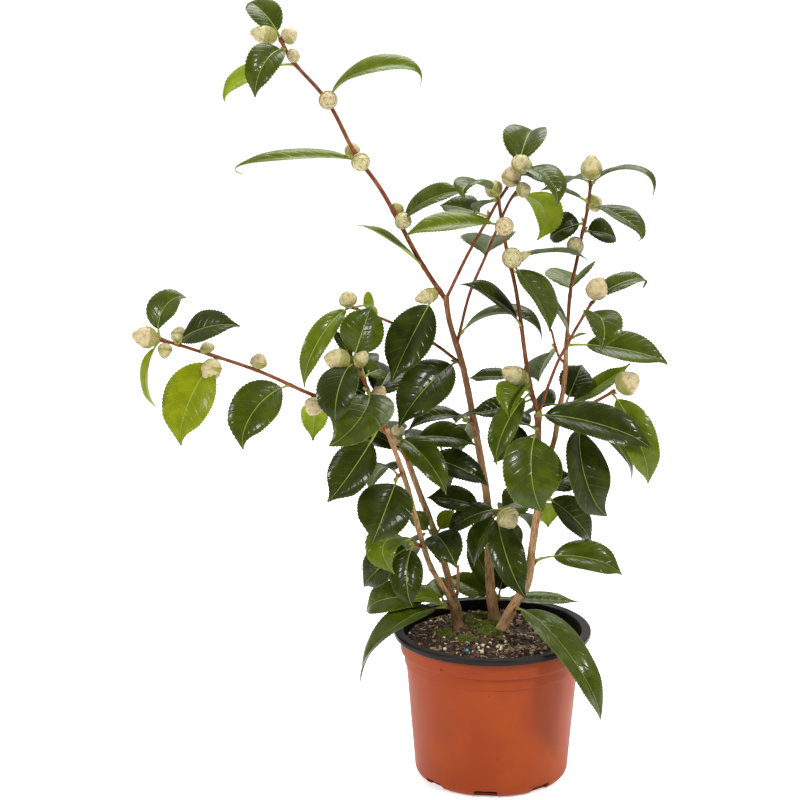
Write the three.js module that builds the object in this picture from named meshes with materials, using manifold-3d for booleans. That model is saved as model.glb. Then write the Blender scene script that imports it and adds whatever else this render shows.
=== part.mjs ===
// A young camellia shrub of three cuttings in a round nursery pot.
// Millimetres, +Z up, origin at the middle of the pot's flat underside, the viewer on the -Y side.
import * as THREE from "three";
import { mergeVertices } from "three/addons/utils/BufferGeometryUtils.js";
import Module from "manifold-3d";

const wasm = await Module();
wasm.setup();

// Pot
const POT_HEIGHT = 116;
const LIP_RADIUS = 74.8;
const LIP_TALL = 5.4;
const COLLAR_RADIUS = 69.8;
const COLLAR_BOTTOM = 98.6;
const BODY_TOP_RADIUS = 66.4;
const RIDGE_HEIGHT = 89.8;
const RIDGE_STEP = 0.8;
const BASE_RADIUS = 58.4;
const BASE_CORNER = 8;
const WALL = 1.6;
const POT_FLOOR = 2.2;
const POT_SIDES = 40;
const DRAIN_NOTCHES = 8;
const DRAIN_WIDTH = 17.5;
const DRAIN_TALL = 6.4;
const DRAIN_DEPTH = 9;
const DRAIN_TURN = 264;

// Potting soil
const SOIL_TOP = 110;
const SOIL_EDGE_DROP = 3;
const SOIL_CROWN_RADIUS = 46;
const SOIL_SIDES = 32;

// Wood, leaves and buds
const CLEARANCE = 0.3;
const LIMB_SIDES = 8;
const LIMB_STEP = 22;
const SHOOT_SIDES = 6;
const SHOOT_STEP = 26;
const FLARE_TALL = 9;
const FLARE = 1.45;
const LEAF_STATIONS = [0, 0.14, 0.38, 0.64, 0.86];
const LEAF_THICK_SHARE = 1 / 60;
const LEAF_FOLD = 14;
const STALK_WIDE = 2;
const STALK_LONG = 8;
const BUD_SIDES = 6;
const BUD_PROFILE = [[0.12, 0.68], [0.42, 1.04], [0.8, 0.66]];
const REAR_LEAF_SEED = 41;

const radians = THREE.MathUtils.degToRad;
const vector = (point) => new THREE.Vector3(...point);

// A small seeded generator of numbers from 0 to 1.
function seeded(seed) {
  let state = seed >>> 0;
  return () => {
    state = (state * 1664525 + 1013904223) >>> 0;
    return state / 4294967296;
  };
}

// A leaf reaches [right, back, up] from its joint to its tip. arch is how far the midrib bows towards
// the leaf's upper face, roll turns that face to the leaf's right, and hook tells how late it bends down.
const leaf = (along, reach, width, arch, roll = 0, more = {}) => ({
  along, reach, width, arch, roll,
  sweep: 0, twist: 0, stalk: STALK_LONG, hook: 0.85, fold: LEAF_FOLD, ...more,
});

// A bud points along its reach, from its joint to its tip.
const bud = (along, reach, girth) => ({ along, reach, girth });

// Each limb starts on the soil or at a share of the way along its parent, and passes through a few bends.
const limbs = {
  left_trunk: { foot: [-26, 17], bends: [[-27, 17, 121], [-29, 16, 131]], thick: 7.4, thin: 6.4 },
  left_outer_bough: {
    on: "left_trunk", at: 0.8, thick: 4.6, thin: 3.6,
    bends: [[-47, 10, 162], [-55, 6, 188], [-66, 2, 231], [-80, -4, 273]],
  },
  left_inner_bough: {
    on: "left_trunk", at: 0.75, thick: 5.6, thin: 4.4, clear: ["left_outer_bough"],
    bends: [[-36, 24, 159], [-45, 28, 187], [-57, 31, 218], [-64, 32, 238]],
  },
  left_cut_stub: {
    on: "left_trunk", at: 0.85, thick: 2.8, thin: 2.4, clear: ["left_inner_bough", "left_outer_bough"],
    bends: [[-26, 14, 142], [-26, 13, 161]],
  },
  centre_trunk: {
    foot: [3, 32], thick: 7.6, thin: 3.7,
    bends: [[-1, 32, 141], [-3, 31, 201], [-16, 29, 279], [-24, 28, 317], [-33, 28, 347], [-36, 28, 367]],
  },
  right_trunk: {
    foot: [7, 11], thick: 7.6, thin: 4.2,
    bends: [[18, 9, 133], [26, 8, 147], [30, 6, 179], [35, 3, 228], [33, 1, 266], [33, 0, 285]],
  },
  right_back_bough: {
    on: "right_trunk", at: 0.66, thick: 4.4, thin: 3.4,
    bends: [[46, 12, 261], [48, 15, 274], [53, 19, 304], [54, 22, 327]],
  },
};

// Each mass of foliage is one stem with the leaves and buds that grow on it. rear is how many more
// leaves the seeded rule adds on the side away from the viewer.
const masses = {
  left_long_branch: {
    on: "left_outer_bough", at: 0.97, thick: 3.3, thin: 2.4,
    bends: [[-108, -8, 290], [-135, -12, 301], [-173, -18, 320], [-224, -24, 339], [-244, -27, 346]],
    leaves: [
      leaf(1, [20, 12, 27], 28, 9, 20, { hook: 1, sweep: -7, fold: 10 }),
      leaf(0.93, [47, -20, 18], 29, 9, 42, { fold: 10 }),
      leaf(1, [-1, -10, -50], 22, 10, 62),
      leaf(0.76, [-27, -18, -62], 40, 6, -40, { sweep: 6 }),
      leaf(0.45, [-34, -26, -42], 37, 7, -38, { sweep: 9 }),
      leaf(0.335, [-4, 18, -39], 22, 6, 10),
      leaf(0.05, [-38, -20, -52], 36, 2, -38, { stalk: 13, sweep: -3 }),
    ],
    buds: [
      bud(1, [-21, -3, 4], 16), bud(0.98, [-1, -3, -13], 10), bud(0.93, [2, 8, 12], 12),
      bud(0.8, [-3, 2, 9], 11), bud(0.78, [-4, -7, -20], 15), bud(0.6, [3, 1, 13], 12),
      bud(0.33, [-6, -8, -12], 14),
    ],
    rear: 0,
  },
  left_cluster_shoot: {
    on: "left_outer_bough", at: 0.99, thick: 3.4, thin: 2.6, clear: ["left_long_branch"],
    bends: [[-89, -6, 291], [-97, -8, 311], [-105, -10, 325]],
    leaves: [
      leaf(1, [14, 10, 40], 34, 6, 50),
      leaf(0.98, [-17, 12, 23], 11, 3, -20, { stalk: 4 }),
      leaf(0.75, [14, 14, 3], 22, 3, 35, { stalk: 5 }),
      leaf(0.98, [-12, -30, -39], 33, 13, 0),
      leaf(0.58, [-28, -42, -31], 50, 7, -12, { sweep: -12 }),
    ],
    buds: [
      bud(1, [-21, -6, 5], 17), bud(0.92, [8, -6, 14], 10), bud(0.4, [8, -4, 14], 11),
    ],
    rear: 3,
  },
  left_hanging_leaves: {
    on: "left_outer_bough", at: 0.76, thick: 2.6, thin: 2.2,
    bends: [[-72, -6, 236]],
    leaves: [leaf(0.9, [-19, -26, -44], 44, 7, -22, { sweep: -2 })],
    buds: [],
    rear: 4,
  },
  left_lower_leaves: {
    on: "left_outer_bough", at: 0.36, thick: 2.6, thin: 2.2,
    bends: [[-60, 2, 182]],
    leaves: [
      leaf(0.95, [-14, -26, -16], 29, 15, -10, { hook: 1, sweep: 14, stalk: 4 }),
      leaf(0.8, [-39, 8, -37], 36, 6, -48),
      leaf(0.9, [-1, -26, -42], 26, 8, 0, { sweep: 5 }),
    ],
    buds: [],
    rear: 2,
  },
  left_foot_leaves: {
    on: "left_trunk", at: 0.5, thick: 2.6, thin: 2.2,
    bends: [[-35, 14, 128]],
    leaves: [
      leaf(0.8, [-66, -26, -52], 34, 26, -24, { stalk: 14, twist: -50 }),
      leaf(0.95, [-28, -14, 8], 26, 6, -20),
      leaf(0.9, [-62, 12, -9], 29, 20, -42, { stalk: 20 }),
      leaf(0.95, [-10, 24, 14], 20, 3, -30),
    ],
    buds: [],
    rear: 0,
  },
  inner_top_leaves: {
    on: "left_inner_bough", at: 0.97, thick: 3.2, thin: 2.4,
    bends: [[-68, 31, 247], [-72, 29, 258]],
    leaves: [
      leaf(0.8, [57, -10, 0], 26, 9, 35, { stalk: 17 }),
      leaf(0.95, [36, -34, -35], 25, 14, 25),
      leaf(0.45, [64, -10, -24], 28, 8, 35, { stalk: 22 }),
      leaf(0.5, [21, 18, -25], 28, 5, -30),
      leaf(0.45, [36, 20, -38], 26, 5, -25, { stalk: 18 }),
    ],
    buds: [bud(1, [1, -6, 10], 10), bud(0.8, [-6, -6, 4], 8)],
    rear: 4,
  },
  inner_low_leaves: {
    on: "left_inner_bough", at: 0.42, thick: 2.4, thin: 2,
    bends: [[-45, 21, 182]],
    leaves: [leaf(0.95, [17, -32, -15], 28, 11, 20), leaf(0.7, [4, -12, -16], 12, 3, 0, { stalk: 4 }),
      leaf(1, [-20, -2, 16], 18, 4, -40), leaf(0.75, [15, 16, 17], 15, 3, 30)],
    buds: [],
    rear: 1,
  },
  leader_shoot: {
    on: "centre_trunk", at: 0.985, thick: 3.7, thin: 2.6,
    bends: [[-54, 30, 391], [-73, 33, 426], [-85, 35, 447], [-103, 38, 472], [-124, 42, 511],
      [-151, 46, 542], [-158, 47, 556]],
    leaves: [
      leaf(0.99, [-26, 22, 25], 25, 8, -30, { sweep: 1 }),
      leaf(0.96, [-21, -30, -31], 27, 13, -28, { fold: 22, sweep: 4 }),
      leaf(0.9, [-53, 14, -29], 24, 11, 30, { hook: 1.1, stalk: 14 }),
      leaf(0.75, [68, -10, 11], 25, 22, 22, { hook: 1.25 }),
      leaf(0.53, [-87, -8, -8], 22, 9, -14, { hook: 1.3 }),
      leaf(0.29, [49, -15, 26], 26, 9, 32),
      leaf(0.13, [-49, -10, 33], 20, 4, -8, { hook: 1 }),
      leaf(0.045, [-35, -28, -65], 36, 4, -38, { stalk: 15, sweep: 1 }),
    ],
    buds: [
      bud(1, [-22, -3, 5], 14), bud(0.99, [11, 4, 7], 12), bud(0.93, [5, -6, 4], 10),
      bud(0.76, [5, -15, -1], 13), bud(0.55, [6, -15, -7], 13), bud(0.56, [-5, 12, 2], 11),
      bud(0.31, [9, -13, -1], 12), bud(0.33, [4, 10, 4], 10), bud(0.035, [-19, -8, -5], 11),
    ],
    rear: 0,
  },
  centre_front_shoot: {
    on: "centre_trunk", at: 0.85, thick: 2.4, thin: 2,
    bends: [[-18, 24, 370], [-8, 21, 395], [-1, 18, 413], [10, 14, 440], [15, 12, 448]],
    leaves: [
      leaf(0.7, [-5, 38, -22], 44, 4, 0, { fold: 16 }),
      leaf(0.97, [19, 25, -38], 28, 12, -10, { sweep: 11 }),
      leaf(0.06, [61, -14, -1], 30, 20, 5, { hook: 1 }),
    ],
    buds: [bud(1, [10, -6, 4], 11)],
    rear: 0,
  },
  centre_back_shoot: {
    on: "centre_trunk", at: 0.99, thick: 2.6, thin: 2, clear: ["leader_shoot"],
    bends: [[-20, 26, 398], [-4, 22, 428], [2, 22, 439], [17, 20, 462]],
    leaves: [
      leaf(0.99, [13, 38, 24], 36, 9, 5, { fold: 26 }),
      leaf(0.63, [-36, 20, 5], 26, 3, -25),
      leaf(0.98, [27, -26, -20], 30, 14, 0, { hook: 1 }),
      leaf(0.96, [23, 14, -10], 22, 5, 30),
    ],
    buds: [bud(1, [4, -8, 12], 15), bud(0.86, [7, -4, 18], 14), bud(0.8, [-12, 2, 10], 13)],
    rear: 0,
  },
  centre_left_shoot: {
    on: "centre_trunk", at: 0.79, thick: 2.6, thin: 2,
    bends: [[-47, 27, 332], [-76, 24, 347], [-107, 17, 361]],
    leaves: [
      leaf(0.045, [-44, -37, -42], 38, 7, -36, { stalk: 7, sweep: 3 }),
      leaf(0.99, [-34, -26, -55], 19, 18, -35, { sweep: 3 }),
      leaf(0.97, [15, 14, -2], 20, 4, 55),
    ],
    buds: [bud(1, [-3, -6, 12], 13)],
    rear: 0,
  },
  centre_mid_leaves: {
    on: "centre_trunk", at: 0.6, thick: 2.6, thin: 2.2,
    bends: [[-18, 22, 272]],
    leaves: [
      leaf(0.95, [-47, -8, -7], 22, 10, -16, { hook: 0.8 }), leaf(0.8, [-10, 34, -10], 28, 6, 0),
      leaf(0.95, [-8, 36, -38], 26, 4, 0),
    ],
    buds: [],
    rear: 1,
  },
  centre_low_leaves: {
    on: "centre_trunk", at: 0.33, thick: 3, thin: 2.2,
    bends: [[3, 24, 199], [7, 20, 203]],
    leaves: [
      leaf(0.95, [-40, -8, -18], 24, 8, -25, { stalk: 6 }),
      leaf(0.7, [21, -31, -58], 29, 9, 10, { sweep: 9 }),
      leaf(0.6, [-53, 6, 10], 24, 6, -40, { stalk: 16 }),
      leaf(0.5, [23, 18, 5], 26, 4, 40),
      leaf(0.9, [11, 14, -40], 20, 4, 0),
      leaf(0.95, [-20, -9, -42], 26, 6, -10),
    ],
    buds: [bud(1, [9, -13, -10], 18)],
    rear: 5,
  },
  centre_foot_leaves: {
    on: "centre_trunk", at: 0.06, thick: 2.4, thin: 2,
    bends: [[6, 39, 125]],
    leaves: [
      leaf(0.9, [64, 8, -5], 20, 1, 12), leaf(0.6, [-38, 14, 14], 22, 3, -40),
      leaf(1, [-25, 20, 42], 22, 4, -30), leaf(0.95, [10, 12, 34], 20, 3, 20),
    ],
    buds: [],
    rear: 2,
  },
  right_shoot: {
    on: "right_trunk", at: 0.985, thick: 3.6, thin: 2.4,
    bends: [[27, -1, 302], [23, -2, 324], [17, -4, 366], [13, -5, 387], [8, -6, 407], [4, -7, 429],
      [1, -8, 448]],
    leaves: [
      leaf(1, [-25, -35, 3], 24, 11, 0, { hook: 1, sweep: 6 }),
      leaf(0.98, [-17, 20, -13], 20, 3, 0, { stalk: 5 }),
      leaf(0.87, [-68, -8, -9], 26, 8, -20, { hook: 1.15 }),
      leaf(0.7, [59, 22, -3], 20, 8, -15),
      leaf(0.7, [28, -25, -46], 42, 6, -10),
      leaf(0.67, [44, 6, -56], 30, 7, 12),
      leaf(0.41, [-46, -25, 37], 29, 6, -32),
      leaf(0.17, [-44, 18, -4], 20, 2, -20, { stalk: 16 }),
      leaf(0.14, [-16, -30, -17], 34, 6, 5, { fold: 40 }),
      leaf(0.11, [-26, -22, -50], 23, 7, -20, { sweep: 4 }),
      leaf(0.08, [-49, 5, -12], 22, -3, -30),
    ],
    buds: [
      bud(0.88, [3, -15, -2], 13), bud(0.72, [5, -13, 4], 15), bud(0.15, [-21, -12, 14], 15),
      bud(0.7, [16, 6, 8], 7),
    ],
    rear: 0,
  },
  right_front_leaves: {
    on: "right_trunk", at: 0.91, thick: 2.8, thin: 2.2,
    bends: [[32, -8, 270], [30, -10, 285]],
    leaves: [
      leaf(0.5, [4, -22, -56], 47, 10, 0, { sweep: 9 }),
      leaf(0.97, [85, -14, -24], 34, 14, 38, { hook: 0.95 }),
      leaf(0.3, [-32, 20, -27], 34, 5, -40),
      leaf(0.5, [-28, 26, -2], 26, 5, -10),
    ],
    buds: [],
    rear: 0,
  },
  right_side_leaves: {
    on: "right_trunk", at: 0.62, thick: 2.6, thin: 2.2,
    bends: [[40, 1, 218]],
    leaves: [
      leaf(0.95, [34, 6, -37], 30, 6, 46, { stalk: 4 }),
      leaf(0.7, [4, 15, -28], 20, 3, -10), leaf(0.8, [20, 16, 13], 26, 4, 30),
    ],
    buds: [],
    rear: 3,
  },
  right_lower_leaf: {
    on: "right_trunk", at: 0.29, thick: 2.4, thin: 2,
    bends: [[34, 6, 168]],
    leaves: [leaf(0.9, [64, -10, -9], 30, 15, 36, { stalk: 16 })],
    buds: [],
    rear: 1,
  },
  right_foot_leaf: {
    on: "right_trunk", at: 0.09, thick: 2.6, thin: 2.4,
    bends: [[19, 3, 130]],
    leaves: [leaf(0.9, [60, -62, -66], 34, 32, 0, { stalk: 15, hook: 0.95, sweep: 18 })],
    buds: [],
    rear: 0,
  },
  back_shoot: {
    on: "right_back_bough", at: 0.98, thick: 3, thin: 2.3,
    bends: [[57, 26, 372], [61, 27, 392], [65, 28, 414], [68, 29, 428], [71, 30, 452]],
    leaves: [
      leaf(0.99, [-19, 28, -8], 24, 6, 0),
      leaf(0.98, [44, -20, -4], 20, 17, -6, { hook: 1.1 }),
      leaf(0.85, [34, -30, -19], 26, 10, 5, { hook: 1.35 }),
      leaf(0.88, [-36, -12, 11], 20, 4, 0),
      leaf(0.71, [26, 12, -8], 24, 4, 45, { stalk: 4 }),
      leaf(0.76, [-25, 12, -14], 28, 4, -50, { stalk: 4 }),
      leaf(0.33, [9, 36, 8], 46, 4, -14, { fold: 28 }),
      leaf(0.04, [74, -14, -13], 32, 9, 32, { hook: 1.05, stalk: 16 }),
      leaf(0.06, [16, -5, 7], 8, 2, 0, { stalk: 4 }),
    ],
    buds: [
      bud(1, [0, -3, 21], 16), bud(0.86, [10, 6, 4], 13), bud(0.63, [-8, -10, 1], 13),
    ],
    rear: 0,
  },
  bud_shoot: {
    on: "right_trunk", at: 0.99, thick: 2.6, thin: 2.1,
    clear: ["right_shoot", "right_back_bough", "back_shoot"],
    bends: [[41, -5, 310], [47, -9, 327], [63, -14, 359], [70, -17, 372]],
    leaves: [
      leaf(0.97, [40, 22, 8], 20, 11, 20, { hook: 1.25 }),
      leaf(0.88, [10, -33, -19], 30, 13, -6, { sweep: -3 }),
    ],
    buds: [bud(1, [6, -3, 19], 16)],
    rear: 0,
  },
  thin_back_twig: {
    on: "right_back_bough", at: 0.9, thick: 2.1, thin: 1.7, clear: ["back_shoot"],
    bends: [[49, 24, 321], [43, 28, 341]],
    leaves: [leaf(0.5, [-11, 24, -32], 34, 4, -20)],
    buds: [],
    rear: 0,
  },
  back_mid_leaves: {
    on: "right_back_bough", at: 0.6, thick: 2.6, thin: 2.2,
    bends: [[54, 22, 283]],
    leaves: [
      leaf(0.9, [50, 14, 30], 18, -2, 30),
      leaf(0.8, [51, 2, -61], 28, 14, 24),
      leaf(0.6, [-24, 25, -12], 32, 5, -25),
      leaf(0.9, [14, 22, 27], 26, 4, 30),
    ],
    buds: [],
    rear: 4,
  },
  right_bud_shoot: {
    on: "right_back_bough", at: 0.55, thick: 2.8, thin: 2.4, clear: ["back_mid_leaves"],
    bends: [[64, 8, 285], [82, 2, 296], [89, 0, 301]],
    leaves: [
      leaf(0.94, [27, -15, -66], 30, 14, 38),
      leaf(0.44, [17, -25, -77], 43, 6, -5, { sweep: 19, stalk: 22 }),
    ],
    buds: [bud(1, [18, -3, 12], 19)],
    rear: 0,
  },
};

// Turns three.js geometry into a solid, with its shared vertices merged.
function solidFrom(geometry) {
  const bare = new THREE.BufferGeometry();
  bare.setAttribute("position", geometry.getAttribute("position"));
  if (geometry.index) bare.setIndex(geometry.index);
  const merged = mergeVertices(bare, 1e-4);
  const mesh = new wasm.Mesh({
    numProp: 3,
    vertProperties: new Float32Array(merged.attributes.position.array),
    triVerts: new Uint32Array(merged.index.array),
  });
  return new wasm.Manifold(mesh);
}

function geometryFrom(solid) {
  const mesh = solid.getMesh();
  const places = new Float32Array(mesh.numVert * 3);
  for (let i = 0; i < mesh.numVert; i++) {
    places.set(mesh.vertProperties.subarray(i * mesh.numProp, i * mesh.numProp + 3), i * 3);
  }
  const geometry = new THREE.BufferGeometry();
  geometry.setAttribute("position", new THREE.BufferAttribute(places, 3));
  geometry.setIndex(new THREE.BufferAttribute(mesh.triVerts, 1));
  geometry.computeVertexNormals();
  return geometry;
}

// Builds a closed skin over rings of equal size, each a list of points, with an optional end point.
function skin(rings, tip = null) {
  const size = rings[0].length;
  const points = rings.flat();
  const faces = [];
  for (let i = 1; i < size - 1; i++) faces.push(0, i + 1, i);
  for (let r = 0; r < rings.length - 1; r++) {
    for (let i = 0; i < size; i++) {
      const here = r * size + i;
      const next = r * size + ((i + 1) % size);
      faces.push(here, next, next + size, here, next + size, here + size);
    }
  }
  const last = (rings.length - 1) * size;
  if (tip) points.push(tip);
  for (let i = 0; i < size; i++) {
    if (tip) faces.push(last + i, last + ((i + 1) % size), points.length - 1);
    else if (i > 0 && i < size - 1) faces.push(last, last + i, last + i + 1);
  }
  const geometry = new THREE.BufferGeometry().setFromPoints(points);
  geometry.setIndex(faces);
  return solidFrom(geometry);
}

// Keeps the largest body of a solid, so that no loose scrap stays.
const largest = (solid) => solid.decompose().sort((a, b) => b.volume() - a.volume())[0];

// A limb's centre line, from the soil or from its joint on its parent.
function centreLine(limb) {
  const start = limb.foot
    ? new THREE.Vector3(...limb.foot, SOIL_TOP + CLEARANCE)
    : lines[limb.on].getPointAt(limb.at);
  return new THREE.CatmullRomCurve3([start, ...limb.bends.map(vector)], false, "centripetal");
}

// A tapering tube along a limb's centre line. A foot is cut level and flares out over the soil.
function tube(limb, line, sides, step, grow = 0) {
  const length = line.getLength();
  const steps = Math.max(limb.foot ? 4 : limb.bends.length + 2, Math.round(length / step));
  const side = new THREE.Vector3(1, 0, 0);
  const rings = [];
  for (let k = 0; k <= steps; k++) {
    const share = limb.foot && k === 1 ? FLARE_TALL / length : k / steps;
    const centre = line.getPointAt(share);
    const ahead = line.getTangentAt(share);
    const level = limb.foot && k === 0;
    if (level) ahead.set(0, 0, 1);
    side.addScaledVector(ahead, -side.dot(ahead)).normalize();
    const across = new THREE.Vector3().crossVectors(ahead, side);
    const radius = THREE.MathUtils.lerp(limb.thick, limb.thin, share) / 2 * (level ? FLARE : 1) + grow;
    rings.push(Array.from({ length: sides }, (_, i) => {
      const angle = (i / sides) * 2 * Math.PI;
      return centre.clone()
        .addScaledVector(side, radius * Math.cos(angle))
        .addScaledVector(across, radius * Math.sin(angle));
    }));
  }
  return skin(rings);
}

// Half the width of a blade, as a share of its greatest, from its base at 0 to its drawn-out tip at 1.
const bladeShape = (t) => Math.sin(Math.PI * t ** 0.8) ** 0.8 * (1 - 0.45 * t ** 5);

function leafSolid(joint, item) {
  const reach = vector(item.reach);
  const forward = reach.clone().normalize();
  const up = new THREE.Vector3(0, 0, 1).addScaledVector(forward, -forward.z).normalize();
  up.applyAxisAngle(forward, radians(item.roll));
  const side = new THREE.Vector3().crossVectors(forward, up);
  const bow = up.clone().multiplyScalar(item.arch / 0.75).addScaledVector(side, item.sweep / 0.75);
  const midrib = new THREE.CubicBezierCurve3(
    joint,
    joint.clone().addScaledVector(reach, 0.25).add(bow),
    joint.clone().addScaledVector(reach, item.hook).add(bow),
    joint.clone().add(reach),
  );
  const length = midrib.getLength();
  const thick = length * LEAF_THICK_SHARE;
  const stalkShare = item.stalk / length;
  const fold = radians(item.fold);
  const section = (share, half, high, bend) => {
    const centre = midrib.getPointAt(share);
    const ahead = midrib.getTangentAt(share);
    const right = side.clone().addScaledVector(ahead, -side.dot(ahead)).normalize();
    right.applyAxisAngle(ahead, -radians(item.twist) * share);
    const above = new THREE.Vector3().crossVectors(right, ahead);
    const edge = (sign) => centre.clone()
      .addScaledVector(right, sign * half * Math.cos(bend))
      .addScaledVector(above, half * Math.sin(bend));
    return [
      edge(1), centre.clone().addScaledVector(above, -high / 2),
      edge(-1), centre.clone().addScaledVector(above, high / 2),
    ];
  };
  const rings = [section(0, STALK_WIDE / 2, STALK_WIDE * 0.9, 0)];
  for (const t of LEAF_STATIONS) {
    const half = Math.max(STALK_WIDE / 2, (item.width / 2) * bladeShape(t));
    const high = t === 0 ? STALK_WIDE * 0.8 : thick;
    rings.push(section(stalkShare + (1 - stalkShare) * t, half, high, t === 0 ? 0 : fold));
  }
  return skin(rings, midrib.getPointAt(1));
}

function budSolid(joint, item) {
  const reach = vector(item.reach);
  const forward = reach.clone().normalize();
  const side = new THREE.Vector3(-forward.y, forward.x, 0.01).normalize();
  side.addScaledVector(forward, -side.dot(forward)).normalize();
  const across = new THREE.Vector3().crossVectors(forward, side);
  const rings = BUD_PROFILE.map(([share, wide]) =>
    Array.from({ length: BUD_SIDES }, (_, i) => {
      const angle = (i / BUD_SIDES) * 2 * Math.PI;
      return joint.clone().addScaledVector(reach, share)
        .addScaledVector(side, (item.girth / 2) * wide * Math.cos(angle))
        .addScaledVector(across, (item.girth / 2) * wide * Math.sin(angle));
    }));
  const stem = Array.from({ length: BUD_SIDES }, (_, i) => {
    const angle = (i / BUD_SIDES) * 2 * Math.PI;
    return joint.clone()
      .addScaledVector(side, STALK_WIDE * 0.6 * Math.cos(angle))
      .addScaledVector(across, STALK_WIDE * 0.6 * Math.sin(angle));
  });
  return skin([stem, ...rings], joint.clone().add(reach));
}

// The wall of a round thing, turned from a closed profile of [radius, height].
const turned = (profile, sides) => solidFrom(
  new THREE.LatheGeometry(profile.map(([radius, height]) => new THREE.Vector2(radius, height)), sides)
    .rotateX(Math.PI / 2),
);

const COLLAR_TOP = POT_HEIGHT - LIP_TALL - CLEARANCE;

// The pot's outer profile from the edge of its flat underside up to the top of its collar.
const potOuter = [
  [BASE_RADIUS - BASE_CORNER, 0],
  [BASE_RADIUS - BASE_CORNER * 0.45, 0.9],
  [BASE_RADIUS - BASE_CORNER * 0.12, 3.6],
  [BASE_RADIUS, BASE_CORNER],
  [BODY_TOP_RADIUS - RIDGE_STEP, RIDGE_HEIGHT - 0.8],
  [BODY_TOP_RADIUS, RIDGE_HEIGHT],
  [BODY_TOP_RADIUS + 0.3, COLLAR_BOTTOM],
  [COLLAR_RADIUS - 0.6, COLLAR_BOTTOM + 1.2],
  [COLLAR_RADIUS, COLLAR_TOP],
];

function potSolid() {
  const inner = potOuter.slice(3).reverse().map(([radius, height]) => [radius - WALL, height]);
  const floor = [[BASE_RADIUS - WALL - 3, POT_FLOOR], [0, POT_FLOOR]];
  let solid = turned([[0, 0], ...potOuter, ...inner, ...floor], POT_SIDES);
  for (let i = 0; i < DRAIN_NOTCHES; i++) {
    const notch = new THREE.BoxGeometry(DRAIN_DEPTH, DRAIN_WIDTH, DRAIN_TALL)
      .translate(BASE_RADIUS + 1 - DRAIN_DEPTH / 2, 0, DRAIN_TALL / 2 - 0.01)
      .rotateZ(radians(DRAIN_TURN) + (i / DRAIN_NOTCHES) * 2 * Math.PI);
    solid = solid.subtract(solidFrom(notch));
  }
  return largest(solid);
}

// The dark inner layer shows as a rolled lip over the collar, with a skirt down inside the wall.
function lipSolid() {
  const outside = COLLAR_RADIUS - WALL - CLEARANCE;
  const under = POT_HEIGHT - LIP_TALL;
  return turned([
    [outside - 0.5, SOIL_TOP - 8],
    [outside, under],
    [LIP_RADIUS - 1.2, under],
    [LIP_RADIUS, under + 1.6],
    [LIP_RADIUS, POT_HEIGHT - 1.4],
    [LIP_RADIUS - 1.4, POT_HEIGHT],
    [outside + 1, POT_HEIGHT],
    [outside - 0.9, POT_HEIGHT - 1.6],
    [outside - 1.5, SOIL_TOP - 8],
    [outside - 0.5, SOIL_TOP - 8],
  ], POT_SIDES);
}

function soilSolid() {
  const gap = WALL + CLEARANCE + 0.2;
  const lipInside = COLLAR_RADIUS - WALL - 1.8 - 2 * CLEARANCE;
  return turned([
    [0, POT_FLOOR + CLEARANCE],
    [BASE_RADIUS - WALL - 6, POT_FLOOR + CLEARANCE],
    [BASE_RADIUS - gap - 0.8, BASE_CORNER + 2],
    [BODY_TOP_RADIUS - RIDGE_STEP - gap - 0.4, RIDGE_HEIGHT - 2],
    [BODY_TOP_RADIUS - gap - 0.4, COLLAR_BOTTOM - 1],
    [lipInside, SOIL_TOP - SOIL_EDGE_DROP],
    [SOIL_CROWN_RADIUS, SOIL_TOP],
    [0, SOIL_TOP],
  ], SOIL_SIDES);
}

// Whether two solids share any space.
const meets = (a, b) => a.intersect(b).volume() > 1e-4;

// Leaves on the far side, by a seeded rule. One that would touch anything already there is skipped.
function rearLeaves(mass, line, taken, random) {
  const made = [];
  for (let tries = 0; made.length < mass.rear && tries < mass.rear * 8; tries++) {
    const along = 0.25 + 0.7 * random();
    const heading = radians(35 + 110 * random());
    const rise = radians(-45 + 60 * random());
    const reach = 46 + 16 * random();
    const item = leaf(along, [
      reach * Math.cos(rise) * Math.cos(heading),
      reach * Math.cos(rise) * Math.sin(heading),
      reach * Math.sin(rise),
    ], 26 + 12 * random(), 6 + 8 * random(), -25 + 50 * random());
    const solid = leafSolid(line.getPointAt(along), item);
    if (![...taken, ...made].some((other) => meets(solid, other))) made.push(solid);
  }
  return made;
}

const potPlastic = new THREE.MeshStandardMaterial({ color: 0xb4522b, roughness: 0.42, metalness: 0 });
const lipPlastic = new THREE.MeshStandardMaterial({ color: 0x1d1d1f, roughness: 0.35, metalness: 0 });
const soil = new THREE.MeshStandardMaterial({ color: 0x3a2a20, roughness: 0.95, metalness: 0 });
const bark = new THREE.MeshStandardMaterial({ color: 0xa9815a, roughness: 0.8, metalness: 0 });
const foliage = new THREE.MeshStandardMaterial({ color: 0x35481a, roughness: 0.35, metalness: 0 });

const camellia = new THREE.Group();
camellia.name = "camellia_shrub";
const potGroup = new THREE.Group();
const woodGroup = new THREE.Group();
const foliageGroup = new THREE.Group();
camellia.add(potGroup, woodGroup, foliageGroup);

function addNode(parent, name, solid, material) {
  const mesh = new THREE.Mesh(geometryFrom(solid), material);
  mesh.name = name;
  parent.add(mesh);
}

const potWall = potSolid();
const lip = lipSolid();
const pottingSoil = soilSolid();
addNode(potGroup, "pot", potWall, potPlastic);
addNode(potGroup, "pot_lip", lip, lipPlastic);
addNode(potGroup, "potting_soil", pottingSoil, soil);

// Centre lines and grown tubes, by name, so that whatever leaves a limb can be cut clear of it.
const lines = {};
const grown = {};

function wood(name, limb, sides, step) {
  lines[name] = centreLine(limb);
  grown[name] = tube(limb, lines[name], sides, step, CLEARANCE);
  let solid = tube(limb, lines[name], sides, step);
  for (const other of [limb.on, ...(limb.clear ?? [])]) {
    if (other) solid = solid.subtract(grown[other]);
  }
  return largest(solid);
}

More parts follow.
